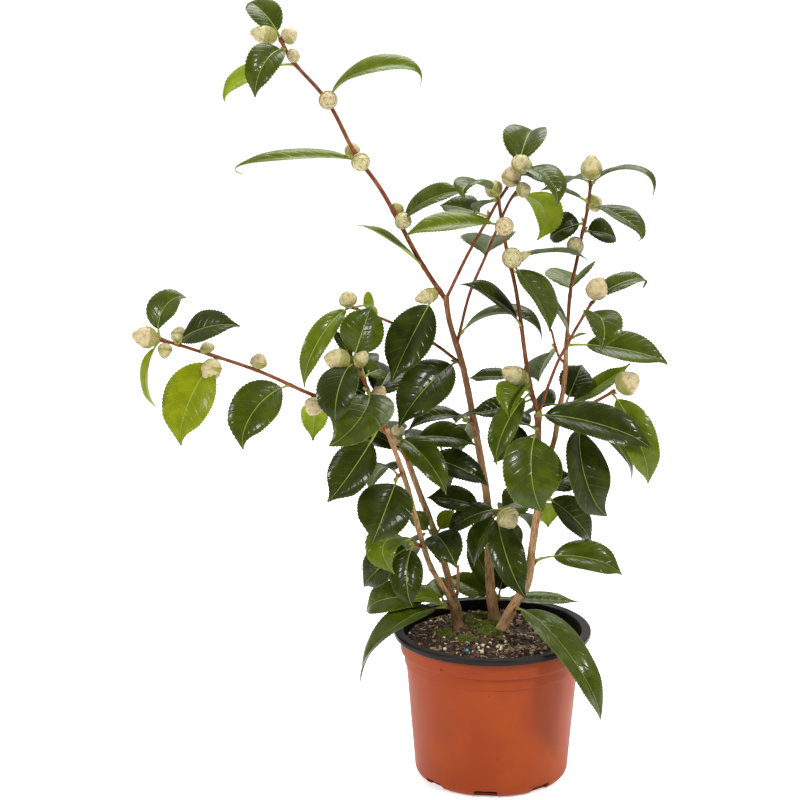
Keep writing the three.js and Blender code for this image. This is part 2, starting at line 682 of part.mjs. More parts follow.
const placed = [potWall, lip, pottingSoil];
for (const [name, limb] of Object.entries(limbs)) {
  const solid = wood(name, limb, LIMB_SIDES, LIMB_STEP);
  placed.push(solid);
  addNode(woodGroup, name, solid, bark);
}

const stems = {};
for (const [name, mass] of Object.entries(masses)) {
  stems[name] = wood(name, mass, SHOOT_SIDES, SHOOT_STEP);
}

const foliageSolids = {};
for (const [name, mass] of Object.entries(masses)) {
  const line = lines[name];
  const parts = [
    ...mass.leaves.map((item) => leafSolid(line.getPointAt(item.along), item)),
    ...mass.buds.map((item) => budSolid(line.getPointAt(item.along), item)),
  ];
  foliageSolids[name] = parts.reduce((whole, part) => whole.add(part), stems[name]);
}

const random = seeded(REAR_LEAF_SEED);
for (const [name, mass] of Object.entries(masses)) {
  const others = Object.entries(foliageSolids).filter(([other]) => other !== name);
  const taken = [...placed, ...others.map(([, solid]) => solid), ...mass.leaves.map((item) =>
    leafSolid(lines[name].getPointAt(item.along), item))];
  for (const part of rearLeaves(mass, lines[name], taken, random)) {
    foliageSolids[name] = foliageSolids[name].add(part);
  }
}

for (const [name, solid] of Object.entries(foliageSolids)) {
  addNode(foliageGroup, name, largest(solid), foliage);
}

export default camellia;
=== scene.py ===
"""A young camellia shrub of three cuttings in a round nursery pot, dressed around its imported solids.

Sizes are in millimetres in the shrub's own frame: +Z up, the origin under the middle of the pot, and
the viewer on the -Y side. Meshes are written in metres.
"""

import logging
import math
import random
from collections.abc import Callable, Iterator, Sequence
from dataclasses import dataclass, field
from enum import Enum, IntEnum

import bmesh
import bpy
import numpy as np
from mathutils import Matrix, Vector, noise


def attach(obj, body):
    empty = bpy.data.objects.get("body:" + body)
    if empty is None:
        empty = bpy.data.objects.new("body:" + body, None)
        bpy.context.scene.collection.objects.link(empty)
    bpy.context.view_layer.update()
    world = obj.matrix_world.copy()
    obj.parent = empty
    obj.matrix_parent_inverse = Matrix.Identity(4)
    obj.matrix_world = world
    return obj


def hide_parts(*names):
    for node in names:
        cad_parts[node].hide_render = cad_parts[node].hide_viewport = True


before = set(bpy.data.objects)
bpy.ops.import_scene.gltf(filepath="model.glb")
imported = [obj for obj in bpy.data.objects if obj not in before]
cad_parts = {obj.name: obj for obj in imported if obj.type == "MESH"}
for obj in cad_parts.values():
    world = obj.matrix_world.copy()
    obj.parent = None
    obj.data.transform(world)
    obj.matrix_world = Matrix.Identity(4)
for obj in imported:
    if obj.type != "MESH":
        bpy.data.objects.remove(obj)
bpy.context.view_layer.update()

LOG = logging.getLogger("camellia")
MM = 0.001
BODY = "root"

# One unit of the limbs' and stems' map, in mm.
MAP_UNIT = 10
# How many pairs of side veins a leaf has and how far they lean forward, for its shape and its look.
VEIN_PAIRS = 9
VEIN_LEAN = 1.9

Pair = tuple[float, float]
Point = tuple[float, float, float]
Colour = tuple[float, float, float, float]
Array = np.ndarray
Thing = bpy.types.Object
Material = bpy.types.Material
Socket = bpy.types.NodeSocket


class Tint(Enum):
    """How a leaf's green was dealt: by its age and by the light that comes through it, which is painted light
    on LIT leaves. DEEP is partly painted shade on leaves inside the crown.
    """

    DEEP = 0
    MID = 1
    FRESH = 2
    LIT = 3


class Group(Enum):
    """The stem that a mass of foliage grows from, which is also the joined piece it goes into."""

    LEFT = "left"
    CENTRE = "centre"
    RIGHT = "right"
    BACK = "back"


@dataclass(frozen=True)
class Leaf:
    """A leaf's place on its stem and the way it reaches, as [right, back, up] from joint to tip."""

    along: float
    reach: Point
    width: float
    arch: float
    roll: float = 0
    sweep: float = 0
    twist: float = 0
    stalk: float = 8
    hook: float = 0.85
    fold: float = 14
    tint: Tint = Tint.MID


@dataclass(frozen=True)
class Bud:
    """A flower bud's place on its stem, its reach from joint to tip, and its greatest width."""

    along: float
    reach: Point
    girth: float


@dataclass(frozen=True)
class Limb:
    """A tapering limb, from its foot on the soil or a share of the way along its parent."""

    bends: tuple[Point, ...]
    thick: float
    thin: float
    on: str = ""
    at: float = 0
    foot: Pair | None = None


@dataclass(frozen=True)
class Mass(Limb):
    """A mass of foliage: one stem with its leaves and buds, and some leaves more by the seeded rule."""

    group: Group = Group.LEFT
    leaves: tuple[Leaf, ...] = ()
    buds: tuple[Bud, ...] = ()
    rear: int = 0


LIMBS = {
    "left_trunk": Limb(
        foot=(-26, 17), thick=7.4, thin=6.4,
        bends=((-27, 17, 121), (-29, 16, 131)),
    ),
    "left_outer_bough": Limb(
        on="left_trunk", at=0.8, thick=4.6, thin=3.6,
        bends=((-47, 10, 162), (-55, 6, 188), (-66, 2, 231), (-80, -4, 273)),
    ),
    "left_inner_bough": Limb(
        on="left_trunk", at=0.75, thick=5.6, thin=4.4,
        bends=((-36, 24, 159), (-45, 28, 187), (-57, 31, 218), (-64, 32, 238)),
    ),
    "left_cut_stub": Limb(
        on="left_trunk", at=0.85, thick=2.8, thin=2.4,
        bends=((-26, 14, 142), (-26, 13, 161)),
    ),
    "centre_trunk": Limb(
        foot=(3, 32), thick=7.6, thin=3.7,
        bends=(
            (-1, 32, 141), (-3, 31, 201), (-16, 29, 279), (-24, 28, 317), (-33, 28, 347), (-36, 28, 367),
        ),
    ),
    "right_trunk": Limb(
        foot=(7, 11), thick=7.6, thin=4.2,
        bends=((18, 9, 133), (26, 8, 147), (30, 6, 179), (35, 3, 228), (33, 1, 266), (33, 0, 285)),
    ),
    "right_back_bough": Limb(
        on="right_trunk", at=0.66, thick=4.4, thin=3.4,
        bends=((46, 12, 261), (48, 15, 274), (53, 19, 304), (54, 22, 327)),
    ),
}

MASSES = {
    "left_long_branch": Mass(
        group=Group.LEFT, on="left_outer_bough", at=0.97, thick=3.3, thin=2.4,
        bends=((-108, -8, 290), (-135, -12, 301), (-173, -18, 320), (-224, -24, 339), (-244, -27, 346)),
        leaves=(
            Leaf(1, (20, 12, 27), 28, 9, 20, hook=1, sweep=-7, fold=10),
            Leaf(0.93, (47, -20, 18), 29, 9, 42, fold=10, tint=Tint.DEEP),
            Leaf(1, (-1, -10, -50), 22, 10, 62, tint=Tint.LIT),
            Leaf(0.76, (-27, -18, -62), 40, 6, -40, sweep=6, tint=Tint.LIT),
            Leaf(0.45, (-34, -26, -42), 37, 7, -38, sweep=9),
            Leaf(0.335, (-4, 18, -39), 22, 6, 10, tint=Tint.LIT),
            Leaf(0.05, (-38, -20, -52), 36, 2, -38, stalk=13, sweep=-3, tint=Tint.DEEP),
        ),
        buds=(
            Bud(1, (-21, -3, 4), 16), Bud(0.98, (-1, -3, -13), 10), Bud(0.93, (2, 8, 12), 12),
            Bud(0.8, (-3, 2, 9), 11), Bud(0.78, (-4, -7, -20), 15), Bud(0.6, (3, 1, 13), 12),
            Bud(0.33, (-6, -8, -12), 14),
        ),
    ),
    "left_cluster_shoot": Mass(
        group=Group.LEFT, on="left_outer_bough", at=0.99, thick=3.4, thin=2.6,
        bends=((-89, -6, 291), (-97, -8, 311), (-105, -10, 325)),
        leaves=(
            Leaf(1, (14, 10, 40), 34, 6, 50),
            Leaf(0.98, (-17, 12, 23), 11, 3, -20, stalk=4),
            Leaf(0.75, (14, 14, 3), 22, 3, 35, stalk=5),
            Leaf(0.98, (-12, -30, -39), 33, 13, 0, tint=Tint.DEEP),
            Leaf(0.58, (-28, -42, -31), 50, 7, -12, sweep=-12),
        ),
        buds=(Bud(1, (-21, -6, 5), 17), Bud(0.92, (8, -6, 14), 10), Bud(0.4, (8, -4, 14), 11),),
        rear=3,
    ),
    "left_hanging_leaves": Mass(
        group=Group.LEFT, on="left_outer_bough", at=0.76, thick=2.6, thin=2.2,
        bends=((-72, -6, 236),),
        leaves=(Leaf(0.9, (-19, -26, -44), 44, 7, -22, sweep=-2, tint=Tint.DEEP),),
        rear=4,
    ),
    "left_lower_leaves": Mass(
        group=Group.LEFT, on="left_outer_bough", at=0.36, thick=2.6, thin=2.2,
        bends=((-60, 2, 182),),
        leaves=(
            Leaf(0.95, (-14, -26, -16), 29, 15, -10, hook=1, sweep=14, stalk=4, tint=Tint.FRESH),
            Leaf(0.8, (-39, 8, -37), 36, 6, -48, tint=Tint.DEEP),
            Leaf(0.9, (-1, -26, -42), 26, 8, 0, sweep=5, tint=Tint.DEEP),
        ),
        rear=2,
    ),
    "left_foot_leaves": Mass(
        group=Group.LEFT, on="left_trunk", at=0.5, thick=2.6, thin=2.2,
        bends=((-35, 14, 128),),
        leaves=(
            Leaf(0.8, (-66, -26, -52), 34, 26, -24, stalk=14, twist=-50),
            Leaf(0.95, (-28, -14, 8), 26, 6, -20, tint=Tint.FRESH),
            Leaf(0.9, (-62, 12, -9), 29, 20, -42, stalk=20),
            Leaf(0.95, (-10, 24, 14), 20, 3, -30, tint=Tint.FRESH),
        ),
    ),
    "inner_top_leaves": Mass(
        group=Group.LEFT, on="left_inner_bough", at=0.97, thick=3.2, thin=2.4,
        bends=((-68, 31, 247), (-72, 29, 258)),
        leaves=(
            Leaf(0.8, (57, -10, 0), 26, 9, 35, stalk=17),
            Leaf(0.95, (36, -34, -35), 25, 14, 25),
            Leaf(0.45, (64, -10, -24), 28, 8, 35, stalk=22, tint=Tint.DEEP),
            Leaf(0.5, (21, 18, -25), 28, 5, -30, tint=Tint.DEEP),
            Leaf(0.45, (36, 20, -38), 26, 5, -25, stalk=18, tint=Tint.DEEP),
        ),
        buds=(Bud(1, (1, -6, 10), 10), Bud(0.8, (-6, -6, 4), 8),),
        rear=4,
    ),
    "inner_low_leaves": Mass(
        group=Group.LEFT, on="left_inner_bough", at=0.42, thick=2.4, thin=2,
        bends=((-45, 21, 182),),
        leaves=(
            Leaf(0.95, (17, -32, -15), 28, 11, 20, tint=Tint.DEEP),
            Leaf(0.7, (4, -12, -16), 12, 3, 0, stalk=4, tint=Tint.DEEP),
            Leaf(1, (-20, -2, 16), 18, 4, -40, tint=Tint.FRESH),
            Leaf(0.75, (15, 16, 17), 15, 3, 30, tint=Tint.LIT),
        ),
        rear=1,
    ),
    "leader_shoot": Mass(
        group=Group.CENTRE, on="centre_trunk", at=0.985, thick=3.7, thin=2.6,
        bends=(
            (-54, 30, 391), (-73, 33, 426), (-85, 35, 447), (-103, 38, 472), (-124, 42, 511),
            (-151, 46, 542), (-158, 47, 556),
        ),
        leaves=(
            Leaf(0.99, (-26, 22, 25), 25, 8, -30, sweep=1),
            Leaf(0.96, (-21, -30, -31), 27, 13, -28, fold=22, sweep=4),
            Leaf(0.9, (-53, 14, -29), 24, 11, 30, hook=1.1, stalk=14, tint=Tint.LIT),
            Leaf(0.75, (68, -10, 11), 25, 22, 22, hook=1.25, tint=Tint.FRESH),
            Leaf(0.53, (-87, -8, -8), 22, 9, -14, hook=1.3, tint=Tint.FRESH),
            Leaf(0.29, (49, -15, 26), 26, 9, 32),
            Leaf(0.13, (-49, -10, 33), 20, 4, -8, hook=1, tint=Tint.FRESH),
            Leaf(0.045, (-35, -28, -65), 36, 4, -38, stalk=15, sweep=1, tint=Tint.DEEP),
        ),
        buds=(
            Bud(1, (-22, -3, 5), 14), Bud(0.99, (11, 4, 7), 12), Bud(0.93, (5, -6, 4), 10),
            Bud(0.76, (5, -15, -1), 13), Bud(0.55, (6, -15, -7), 13), Bud(0.56, (-5, 12, 2), 11),
            Bud(0.31, (9, -13, -1), 12), Bud(0.33, (4, 10, 4), 10), Bud(0.035, (-19, -8, -5), 11),
        ),
    ),
    "centre_front_shoot": Mass(
        group=Group.CENTRE, on="centre_trunk", at=0.85, thick=2.4, thin=2,
        bends=((-18, 24, 370), (-8, 21, 395), (-1, 18, 413), (10, 14, 440), (15, 12, 448)),
        leaves=(
            Leaf(0.7, (-5, 38, -22), 44, 4, 0, fold=16, tint=Tint.DEEP),
            Leaf(0.97, (19, 25, -38), 28, 12, -10, sweep=11, tint=Tint.LIT),
            Leaf(0.06, (61, -14, -1), 30, 20, 5, hook=1),
        ),
        buds=(Bud(1, (10, -6, 4), 11),),
    ),
    "centre_back_shoot": Mass(
        group=Group.CENTRE, on="centre_trunk", at=0.99, thick=2.6, thin=2,
        bends=((-20, 26, 398), (-4, 22, 428), (2, 22, 439), (17, 20, 462)),
        leaves=(
            Leaf(0.99, (13, 38, 24), 36, 9, 5, fold=26),
            Leaf(0.63, (-36, 20, 5), 26, 3, -25),
            Leaf(0.98, (27, -26, -20), 30, 14, 0, hook=1),
            Leaf(0.96, (23, 14, -10), 22, 5, 30),
        ),
        buds=(Bud(1, (4, -8, 12), 15), Bud(0.86, (7, -4, 18), 14), Bud(0.8, (-12, 2, 10), 13),),
    ),
    "centre_left_shoot": Mass(
        group=Group.CENTRE, on="centre_trunk", at=0.79, thick=2.6, thin=2,
        bends=((-47, 27, 332), (-76, 24, 347), (-107, 17, 361)),
        leaves=(
            Leaf(0.045, (-44, -37, -42), 38, 7, -36, stalk=7, sweep=3, tint=Tint.DEEP),
            Leaf(0.99, (-34, -26, -55), 19, 18, -35, sweep=3, tint=Tint.FRESH),
            Leaf(0.97, (15, 14, -2), 20, 4, 55, tint=Tint.LIT),
        ),
        buds=(Bud(1, (-3, -6, 12), 13),),
    ),
    "centre_mid_leaves": Mass(
        group=Group.CENTRE, on="centre_trunk", at=0.6, thick=2.6, thin=2.2,
        bends=((-18, 22, 272),),
        leaves=(
            Leaf(0.95, (-47, -8, -7), 22, 10, -16, hook=0.8, tint=Tint.DEEP),
            Leaf(0.8, (-10, 34, -10), 28, 6, 0, tint=Tint.DEEP),
            Leaf(0.95, (-8, 36, -38), 26, 4, 0, tint=Tint.DEEP),
        ),
        rear=1,
    ),
    "centre_low_leaves": Mass(
        group=Group.CENTRE, on="centre_trunk", at=0.33, thick=3, thin=2.2,
        bends=((3, 24, 199), (7, 20, 203)),
        leaves=(
            Leaf(0.95, (-40, -8, -18), 24, 8, -25, stalk=6, tint=Tint.DEEP),
            Leaf(0.7, (21, -31, -58), 29, 9, 10, sweep=9, tint=Tint.DEEP),
            Leaf(0.6, (-53, 6, 10), 24, 6, -40, stalk=16, tint=Tint.DEEP),
            Leaf(0.5, (23, 18, 5), 26, 4, 40),
            Leaf(0.9, (11, 14, -40), 20, 4, 0, tint=Tint.DEEP),
            Leaf(0.95, (-20, -9, -42), 26, 6, -10),
        ),
        buds=(Bud(1, (9, -13, -10), 18),),
        rear=5,
    ),
    "centre_foot_leaves": Mass(
        group=Group.CENTRE, on="centre_trunk", at=0.06, thick=2.4, thin=2,
        bends=((6, 39, 125),),
        leaves=(
            Leaf(0.9, (64, 8, -5), 20, 1, 12),
            Leaf(0.6, (-38, 14, 14), 22, 3, -40, tint=Tint.FRESH),
            Leaf(1, (-25, 20, 42), 22, 4, -30),
            Leaf(0.95, (10, 12, 34), 20, 3, 20, tint=Tint.DEEP),
        ),
        rear=2,
    ),
    "right_shoot": Mass(
        group=Group.RIGHT, on="right_trunk", at=0.985, thick=3.6, thin=2.4,
        bends=(
            (27, -1, 302), (23, -2, 324), (17, -4, 366), (13, -5, 387), (8, -6, 407), (4, -7, 429),
            (1, -8, 448),
        ),
        leaves=(
            Leaf(1, (-25, -35, 3), 24, 11, 0, hook=1, sweep=6),
            Leaf(0.98, (-17, 20, -13), 20, 3, 0, stalk=5),
            Leaf(0.87, (-68, -8, -9), 26, 8, -20, hook=1.15, tint=Tint.FRESH),
            Leaf(0.7, (59, 22, -3), 20, 8, -15),
            Leaf(0.7, (28, -25, -46), 42, 6, -10),
            Leaf(0.67, (44, 6, -56), 30, 7, 12),
            Leaf(0.41, (-46, -25, 37), 29, 6, -32, tint=Tint.DEEP),
            Leaf(0.17, (-44, 18, -4), 20, 2, -20, stalk=16, tint=Tint.DEEP),
            Leaf(0.14, (-16, -30, -17), 34, 6, 5, fold=40, tint=Tint.FRESH),
            Leaf(0.11, (-26, -22, -50), 23, 7, -20, sweep=4),
            Leaf(0.08, (-49, 5, -12), 22, -3, -30, tint=Tint.DEEP),
        ),
        buds=(
            Bud(0.88, (3, -15, -2), 13), Bud(0.72, (5, -13, 4), 15), Bud(0.15, (-21, -12, 14), 15),
            Bud(0.7, (16, 6, 8), 7),
        ),
    ),
    "right_front_leaves": Mass(
        group=Group.RIGHT, on="right_trunk", at=0.91, thick=2.8, thin=2.2,
        bends=((32, -8, 270), (30, -10, 285)),
        leaves=(
            Leaf(0.5, (4, -22, -56), 47, 10, 0, sweep=9),
            Leaf(0.97, (85, -14, -24), 34, 14, 38, hook=0.95, tint=Tint.DEEP),
            Leaf(0.3, (-32, 20, -27), 34, 5, -40, tint=Tint.DEEP),
            Leaf(0.5, (-28, 26, -2), 26, 5, -10, tint=Tint.DEEP),
        ),
    ),
    "right_side_leaves": Mass(
        group=Group.RIGHT, on="right_trunk", at=0.62, thick=2.6, thin=2.2,
        bends=((40, 1, 218),),
        leaves=(
            Leaf(0.95, (34, 6, -37), 30, 6, 46, stalk=4, tint=Tint.DEEP),
            Leaf(0.7, (4, 15, -28), 20, 3, -10, tint=Tint.FRESH),
            Leaf(0.8, (20, 16, 13), 26, 4, 30, tint=Tint.DEEP),
        ),
        rear=3,
    ),
    "right_lower_leaf": Mass(
        group=Group.RIGHT, on="right_trunk", at=0.29, thick=2.4, thin=2,
        bends=((34, 6, 168),),
        leaves=(Leaf(0.9, (64, -10, -9), 30, 15, 36, stalk=16),),
        rear=1,
    ),
    "right_foot_leaf": Mass(
        group=Group.RIGHT, on="right_trunk", at=0.09, thick=2.6, thin=2.4,
        bends=((19, 3, 130),),
        leaves=(Leaf(0.9, (60, -62, -66), 34, 32, 0, stalk=15, hook=0.95, sweep=18),),
    ),
    "back_shoot": Mass(
        group=Group.BACK, on="right_back_bough", at=0.98, thick=3, thin=2.3,
        bends=((57, 26, 372), (61, 27, 392), (65, 28, 414), (68, 29, 428), (71, 30, 452)),
        leaves=(
            Leaf(0.99, (-19, 28, -8), 24, 6, 0),
            Leaf(0.98, (44, -20, -4), 20, 17, -6, hook=1.1),
            Leaf(0.85, (34, -30, -19), 26, 10, 5, hook=1.35),
            Leaf(0.88, (-36, -12, 11), 20, 4, 0),
            Leaf(0.71, (26, 12, -8), 24, 4, 45, stalk=4, tint=Tint.DEEP),
            Leaf(0.76, (-25, 12, -14), 28, 4, -50, stalk=4, tint=Tint.DEEP),
            Leaf(0.33, (9, 36, 8), 46, 4, -14, fold=28, tint=Tint.FRESH),
            Leaf(0.04, (74, -14, -13), 32, 9, 32, hook=1.05, stalk=16),
            Leaf(0.06, (16, -5, 7), 8, 2, 0, stalk=4, tint=Tint.FRESH),
        ),
        buds=(Bud(1, (0, -3, 21), 16), Bud(0.86, (10, 6, 4), 13), Bud(0.63, (-8, -10, 1), 13),),
    ),
    "bud_shoot": Mass(
        group=Group.BACK, on="right_trunk", at=0.99, thick=2.6, thin=2.1,
        bends=((41, -5, 310), (47, -9, 327), (63, -14, 359), (70, -17, 372)),
        leaves=(
            Leaf(0.97, (40, 22, 8), 20, 11, 20, hook=1.25),
            Leaf(0.88, (10, -33, -19), 30, 13, -6, sweep=-3),
        ),
        buds=(Bud(1, (6, -3, 19), 16),),
    ),
    "thin_back_twig": Mass(
        group=Group.BACK, on="right_back_bough", at=0.9, thick=2.1, thin=1.7,
        bends=((49, 24, 321), (43, 28, 341)),
        leaves=(Leaf(0.5, (-11, 24, -32), 34, 4, -20, tint=Tint.DEEP),),
    ),
    "back_mid_leaves": Mass(
        group=Group.BACK, on="right_back_bough", at=0.6, thick=2.6, thin=2.2,
        bends=((54, 22, 283),),
        leaves=(
            Leaf(0.9, (50, 14, 30), 18, -2, 30, tint=Tint.FRESH),
            Leaf(0.8, (51, 2, -61), 28, 14, 24),
            Leaf(0.6, (-24, 25, -12), 32, 5, -25, tint=Tint.DEEP),
            Leaf(0.9, (14, 22, 27), 26, 4, 30, tint=Tint.DEEP),
        ),
        rear=4,
    ),
    "right_bud_shoot": Mass(
        group=Group.BACK, on="right_back_bough", at=0.55, thick=2.8, thin=2.4,
        bends=((64, 8, 285), (82, 2, 296), (89, 0, 301)),
        leaves=(
            Leaf(0.94, (27, -15, -66), 30, 14, 38, tint=Tint.FRESH),
            Leaf(0.44, (17, -25, -77), 43, 6, -5, sweep=19, stalk=22, tint=Tint.DEEP),
        ),
        buds=(Bud(1, (18, -3, 12), 19),),
    ),
}

STEMS = {**LIMBS, **MASSES}


def linear(code: str) -> Colour:
    """Turns an sRGB hex code into a linear colour.

    Args:
        code: Six hex digits after a hash.

    Returns:
        Red, green, blue and an alpha of 1.
    """
    shares = [int(code[i:i + 2], 16) / 255 for i in (1, 3, 5)]
    red, green, blue = (s / 12.92 if s <= 0.04045 else ((s + 0.055) / 1.055) ** 2.4 for s in shares)
    return red, green, blue, 1.0


class Nodes:
    """Adds nodes to a tree and gives the sockets that they put out."""

    def __init__(self, tree: bpy.types.NodeTree) -> None:
        """Works on the given tree."""
        self.tree = tree

    def feed(self, node: bpy.types.Node, inputs: dict[str | int, object]) -> None:
        """Gives a node's inputs their constant values or links, by the input's name or number."""
        for name, value in inputs.items():
            if isinstance(value, Socket):
                self.tree.links.new(value, node.inputs[name])
            else:
                node.inputs[name].default_value = value

    def add(
        self, kind: str, inputs: dict[str | int, object] | None = None, **settings: object,
    ) -> bpy.types.Node:
        """Adds a node.

        Args:
            kind: The node's type, after the words ShaderNode.
            inputs: Its constant values or links, by the input's name or number.
            settings: The node's own settings, by name.

        Returns:
            The new node.
        """
        node = self.tree.nodes.new(f"ShaderNode{kind}")
        for name, value in settings.items():
            setattr(node, name, value)
        self.feed(node, inputs or {})
        return node

    def maths(self, operation: str, *values: object) -> Socket:
        """Gives the result of one operation on up to three values."""
        return self.add("Math", dict(enumerate(values)), operation=operation).outputs[0]

    def mixed(self, share: object, *colours: Socket | str) -> Socket:
        """Mixes two colours, each a socket or an sRGB hex code, by a share of the second."""
        first, second = (linear(colour) if isinstance(colour, str) else colour for colour in colours)
        return self.add("Mix", {0: share, 6: first, 7: second}, data_type="RGBA").outputs[2]

    def ranged(
        self, value: Socket, low: float, high: float, out_low: float = 0, out_high: float = 1,
    ) -> Socket:
        """Maps a value from one range onto another, smoothly and clamped."""
        ends = {"Value": value, "From Min": low, "From Max": high, "To Min": out_low, "To Max": out_high}
        return self.add("MapRange", ends, interpolation_type="SMOOTHSTEP").outputs[0]


class Surface(Nodes):
    """A material in the making: a plain surface shader and the nodes that feed it."""

    def __init__(self, name: str) -> None:
        """Makes the material, named in plain words."""
        self.material = bpy.data.materials.new(name)
        self.material.use_nodes = True
        super().__init__(self.material.node_tree)

    def place(self) -> Socket:
        """Gives the Object coordinates."""
        return self.add("TexCoord").outputs["Object"]

    def on_map(self, name: str) -> Socket:
        """Gives the places of a joined mesh's own map."""
        return self.add("UVMap", uv_map=name).outputs[0]

    def noise(self, place: Socket, scale: float, detail: float, roughness: float) -> Socket:
        """Gives noise at a scale, with a number of finer layers and their strength."""
        inputs = {"Vector": place, "Scale": scale, "Detail": detail, "Roughness": roughness}
        return self.add("TexNoise", inputs).outputs[0]

    def grain(self, size: float, detail: float, roughness: float = 0.5) -> Socket:
        """Gives noise on Object coordinates, with a grain of the given size in mm."""
        return self.noise(self.place(), 1 / (size * MM), detail, roughness)

    def bump(self, height: Socket, strength: float, depth: float) -> Socket:
        """Gives the normals of a relief from its height, its strength and its depth in mm."""
        return self.add("Bump", {"Strength": strength, "Distance": depth * MM, "Height": height}).outputs[0]

    def finish(self, inputs: dict[str, object]) -> Material:
        """Feeds the shader with constant values and links, and gives the finished material."""
        self.feed(self.tree.nodes["Principled BSDF"], inputs)
        return self.material


@dataclass(frozen=True)
class MouldedPlastic:
    """Injection-moulded polypropylene: an even colour with a soft sheen, faint flow clouds and dust."""

    name: str
    colour: str
    cloud: str
    roughness: float
    cloud_size: float = 42
    dust_size: float = 1.3
    gloss: float = 0.15

    def material(self) -> Material:
        """Builds the finish."""
        surface = Surface(self.name)
        clouds = surface.grain(self.cloud_size, detail=3)
        dust = surface.grain(self.dust_size, detail=2)
        return surface.finish({
            "Base Color": surface.mixed(surface.ranged(clouds, 0.4, 0.68), self.colour, self.cloud),
            "Roughness": surface.ranged(clouds, 0.35, 0.7, self.roughness - 0.05, self.roughness + 0.08),
            "Specular IOR Level": self.gloss,
            "Normal": surface.bump(dust, strength=0.16, depth=0.25),
        })


@dataclass(frozen=True)
class Grit:
    """Damp potting compost or bits of it: matt, broken into fine grains of two browns."""

    name: str
    colour: str
    speck: str
    grain_size: float
    roughness: float = 0.92
    depth: float = 1.2

    def material(self) -> Material:
        """Builds the finish."""
        surface = Surface(self.name)
        grains = surface.grain(self.grain_size, detail=5, roughness=0.7)
        return surface.finish({
            "Base Color": surface.mixed(surface.ranged(grains, 0.42, 0.62), self.colour, self.speck),
            "Roughness": self.roughness,
            "Normal": surface.bump(grains, strength=0.8, depth=self.depth),
        })


@dataclass(frozen=True)
class Bark:
    """Thin camellia bark: smooth tan wood with fine long fissures and pale pores, redder when young."""

    name: str
    old: str
    young: str
    fissure: str
    pore: str
    old_height: float
    young_height: float
    roughness: float
    gloss: float = 0.2
    streak_width: float = 0.9
    streak_share: float = 0.14
    blotch_size: float = 7
    pore_spacing: float = 2.6

    def material(self) -> Material:
        """Builds the finish."""
        surface = Surface(self.name)
        height = surface.add("SeparateXYZ", {0: surface.place()}).outputs[2]
        stretched = surface.add("Mapping", {
            "Vector": surface.on_map("limb"), "Scale": (1, self.streak_share, 1),
        }).outputs[0]
        streaks = surface.noise(stretched, MAP_UNIT / self.streak_width, detail=5, roughness=0.65)
        blotches = surface.grain(self.blotch_size, detail=3)
        pores = surface.add("TexVoronoi", {
            "Vector": surface.place(), "Scale": 1 / (self.pore_spacing * MM),
        }).outputs[0]
        age = surface.ranged(height, self.old_height * MM, self.young_height * MM)
        skin = surface.mixed(age, self.old, self.young)
        for mark, low, high, share, colour in (
            (blotches, 0.46, 0.72, 0.4, self.pore),
            (streaks, 0.54, 0.36, 0.8, self.fissure),
            (pores, 0.16, 0.08, 0.5, self.pore),
        ):
            skin = surface.mixed(surface.ranged(mark, low, high, 0, share), skin, colour)
        return surface.finish({
            "Base Color": skin,
            "Roughness": self.roughness,
            "Specular IOR Level": self.gloss,
            "Normal": surface.bump(streaks, strength=0.7, depth=0.5),
        })


@dataclass(frozen=True)
class Blade:
    """A camellia blade's waxy skin: smooth, with faint side veins that part it into shallow cushions."""

    name: str
    colour: str
    shade: str
    vein: str
    roughness: float
    coat: float
    coat_roughness: float = 0.15
    gloss: float = 0.08
    vein_share: float = 0.06
    margin_share: float = 0.4
    patch_size: float = 9
    pebble_size: float = 4
    pebble_height: float = 0.8
    cushion_height: float = 0.7

    def material(self) -> Material:
        """Builds the finish."""
        surface = Surface(self.name)
        along, across = surface.add("SeparateXYZ", {0: surface.on_map("blade")}).outputs[:2]
        outwards = surface.maths("ABSOLUTE", surface.maths("MULTIPLY_ADD", across, 2, -1))
        leaning = surface.maths("MULTIPLY", outwards, -VEIN_LEAN)
        order = surface.maths("MULTIPLY_ADD", along, VEIN_PAIRS, leaning)
        swing = surface.maths("SINE", surface.maths("MULTIPLY", order, math.pi))
        cushion = surface.maths("ABSOLUTE", swing)
        patches = surface.grain(self.patch_size, detail=3)
        pebble = surface.grain(self.pebble_size, detail=2)
        skin = surface.mixed(surface.ranged(patches, 0.38, 0.66), self.colour, self.shade)
        skin = surface.mixed(surface.ranged(cushion, 0.2, 0.02, 0, self.vein_share), skin, self.vein)
        skin = surface.mixed(surface.ranged(outwards, 0.94, 0.98, 0, self.margin_share), skin, self.vein)
        swell = surface.ranged(cushion, 0, 0.5, 0, self.cushion_height)
        relief = surface.maths("MULTIPLY_ADD", pebble, self.pebble_height, swell)
        normals = surface.bump(relief, strength=0.5, depth=0.4)
        return surface.finish({
            "Base Color": skin,
            "Roughness": self.roughness,
            "Specular IOR Level": self.gloss,
            "Coat Weight": self.coat,
            "Coat Roughness": self.coat_roughness,
            "Normal": normals,
            "Coat Normal": normals,
        })


@dataclass(frozen=True)
class Skin:
    """A plain plant skin, such as a stalk, a midrib or a bud scale: satin, finely mottled."""

    name: str
    colour: str
    mottle: str
    roughness: float
    grain_size: float = 1.4
    sheen: float = 0
    gloss: float = 0.3

    def material(self) -> Material:
        """Builds the finish."""
        surface = Surface(self.name)
        mottling = surface.grain(self.grain_size, detail=4, roughness=0.6)
        return surface.finish({
            "Base Color": surface.mixed(surface.ranged(mottling, 0.45, 0.68), self.colour, self.mottle),
            "Roughness": self.roughness,
            "Specular IOR Level": self.gloss,
            "Sheen Weight": self.sheen,
            "Normal": surface.bump(mottling, strength=0.3, depth=0.2),
        })


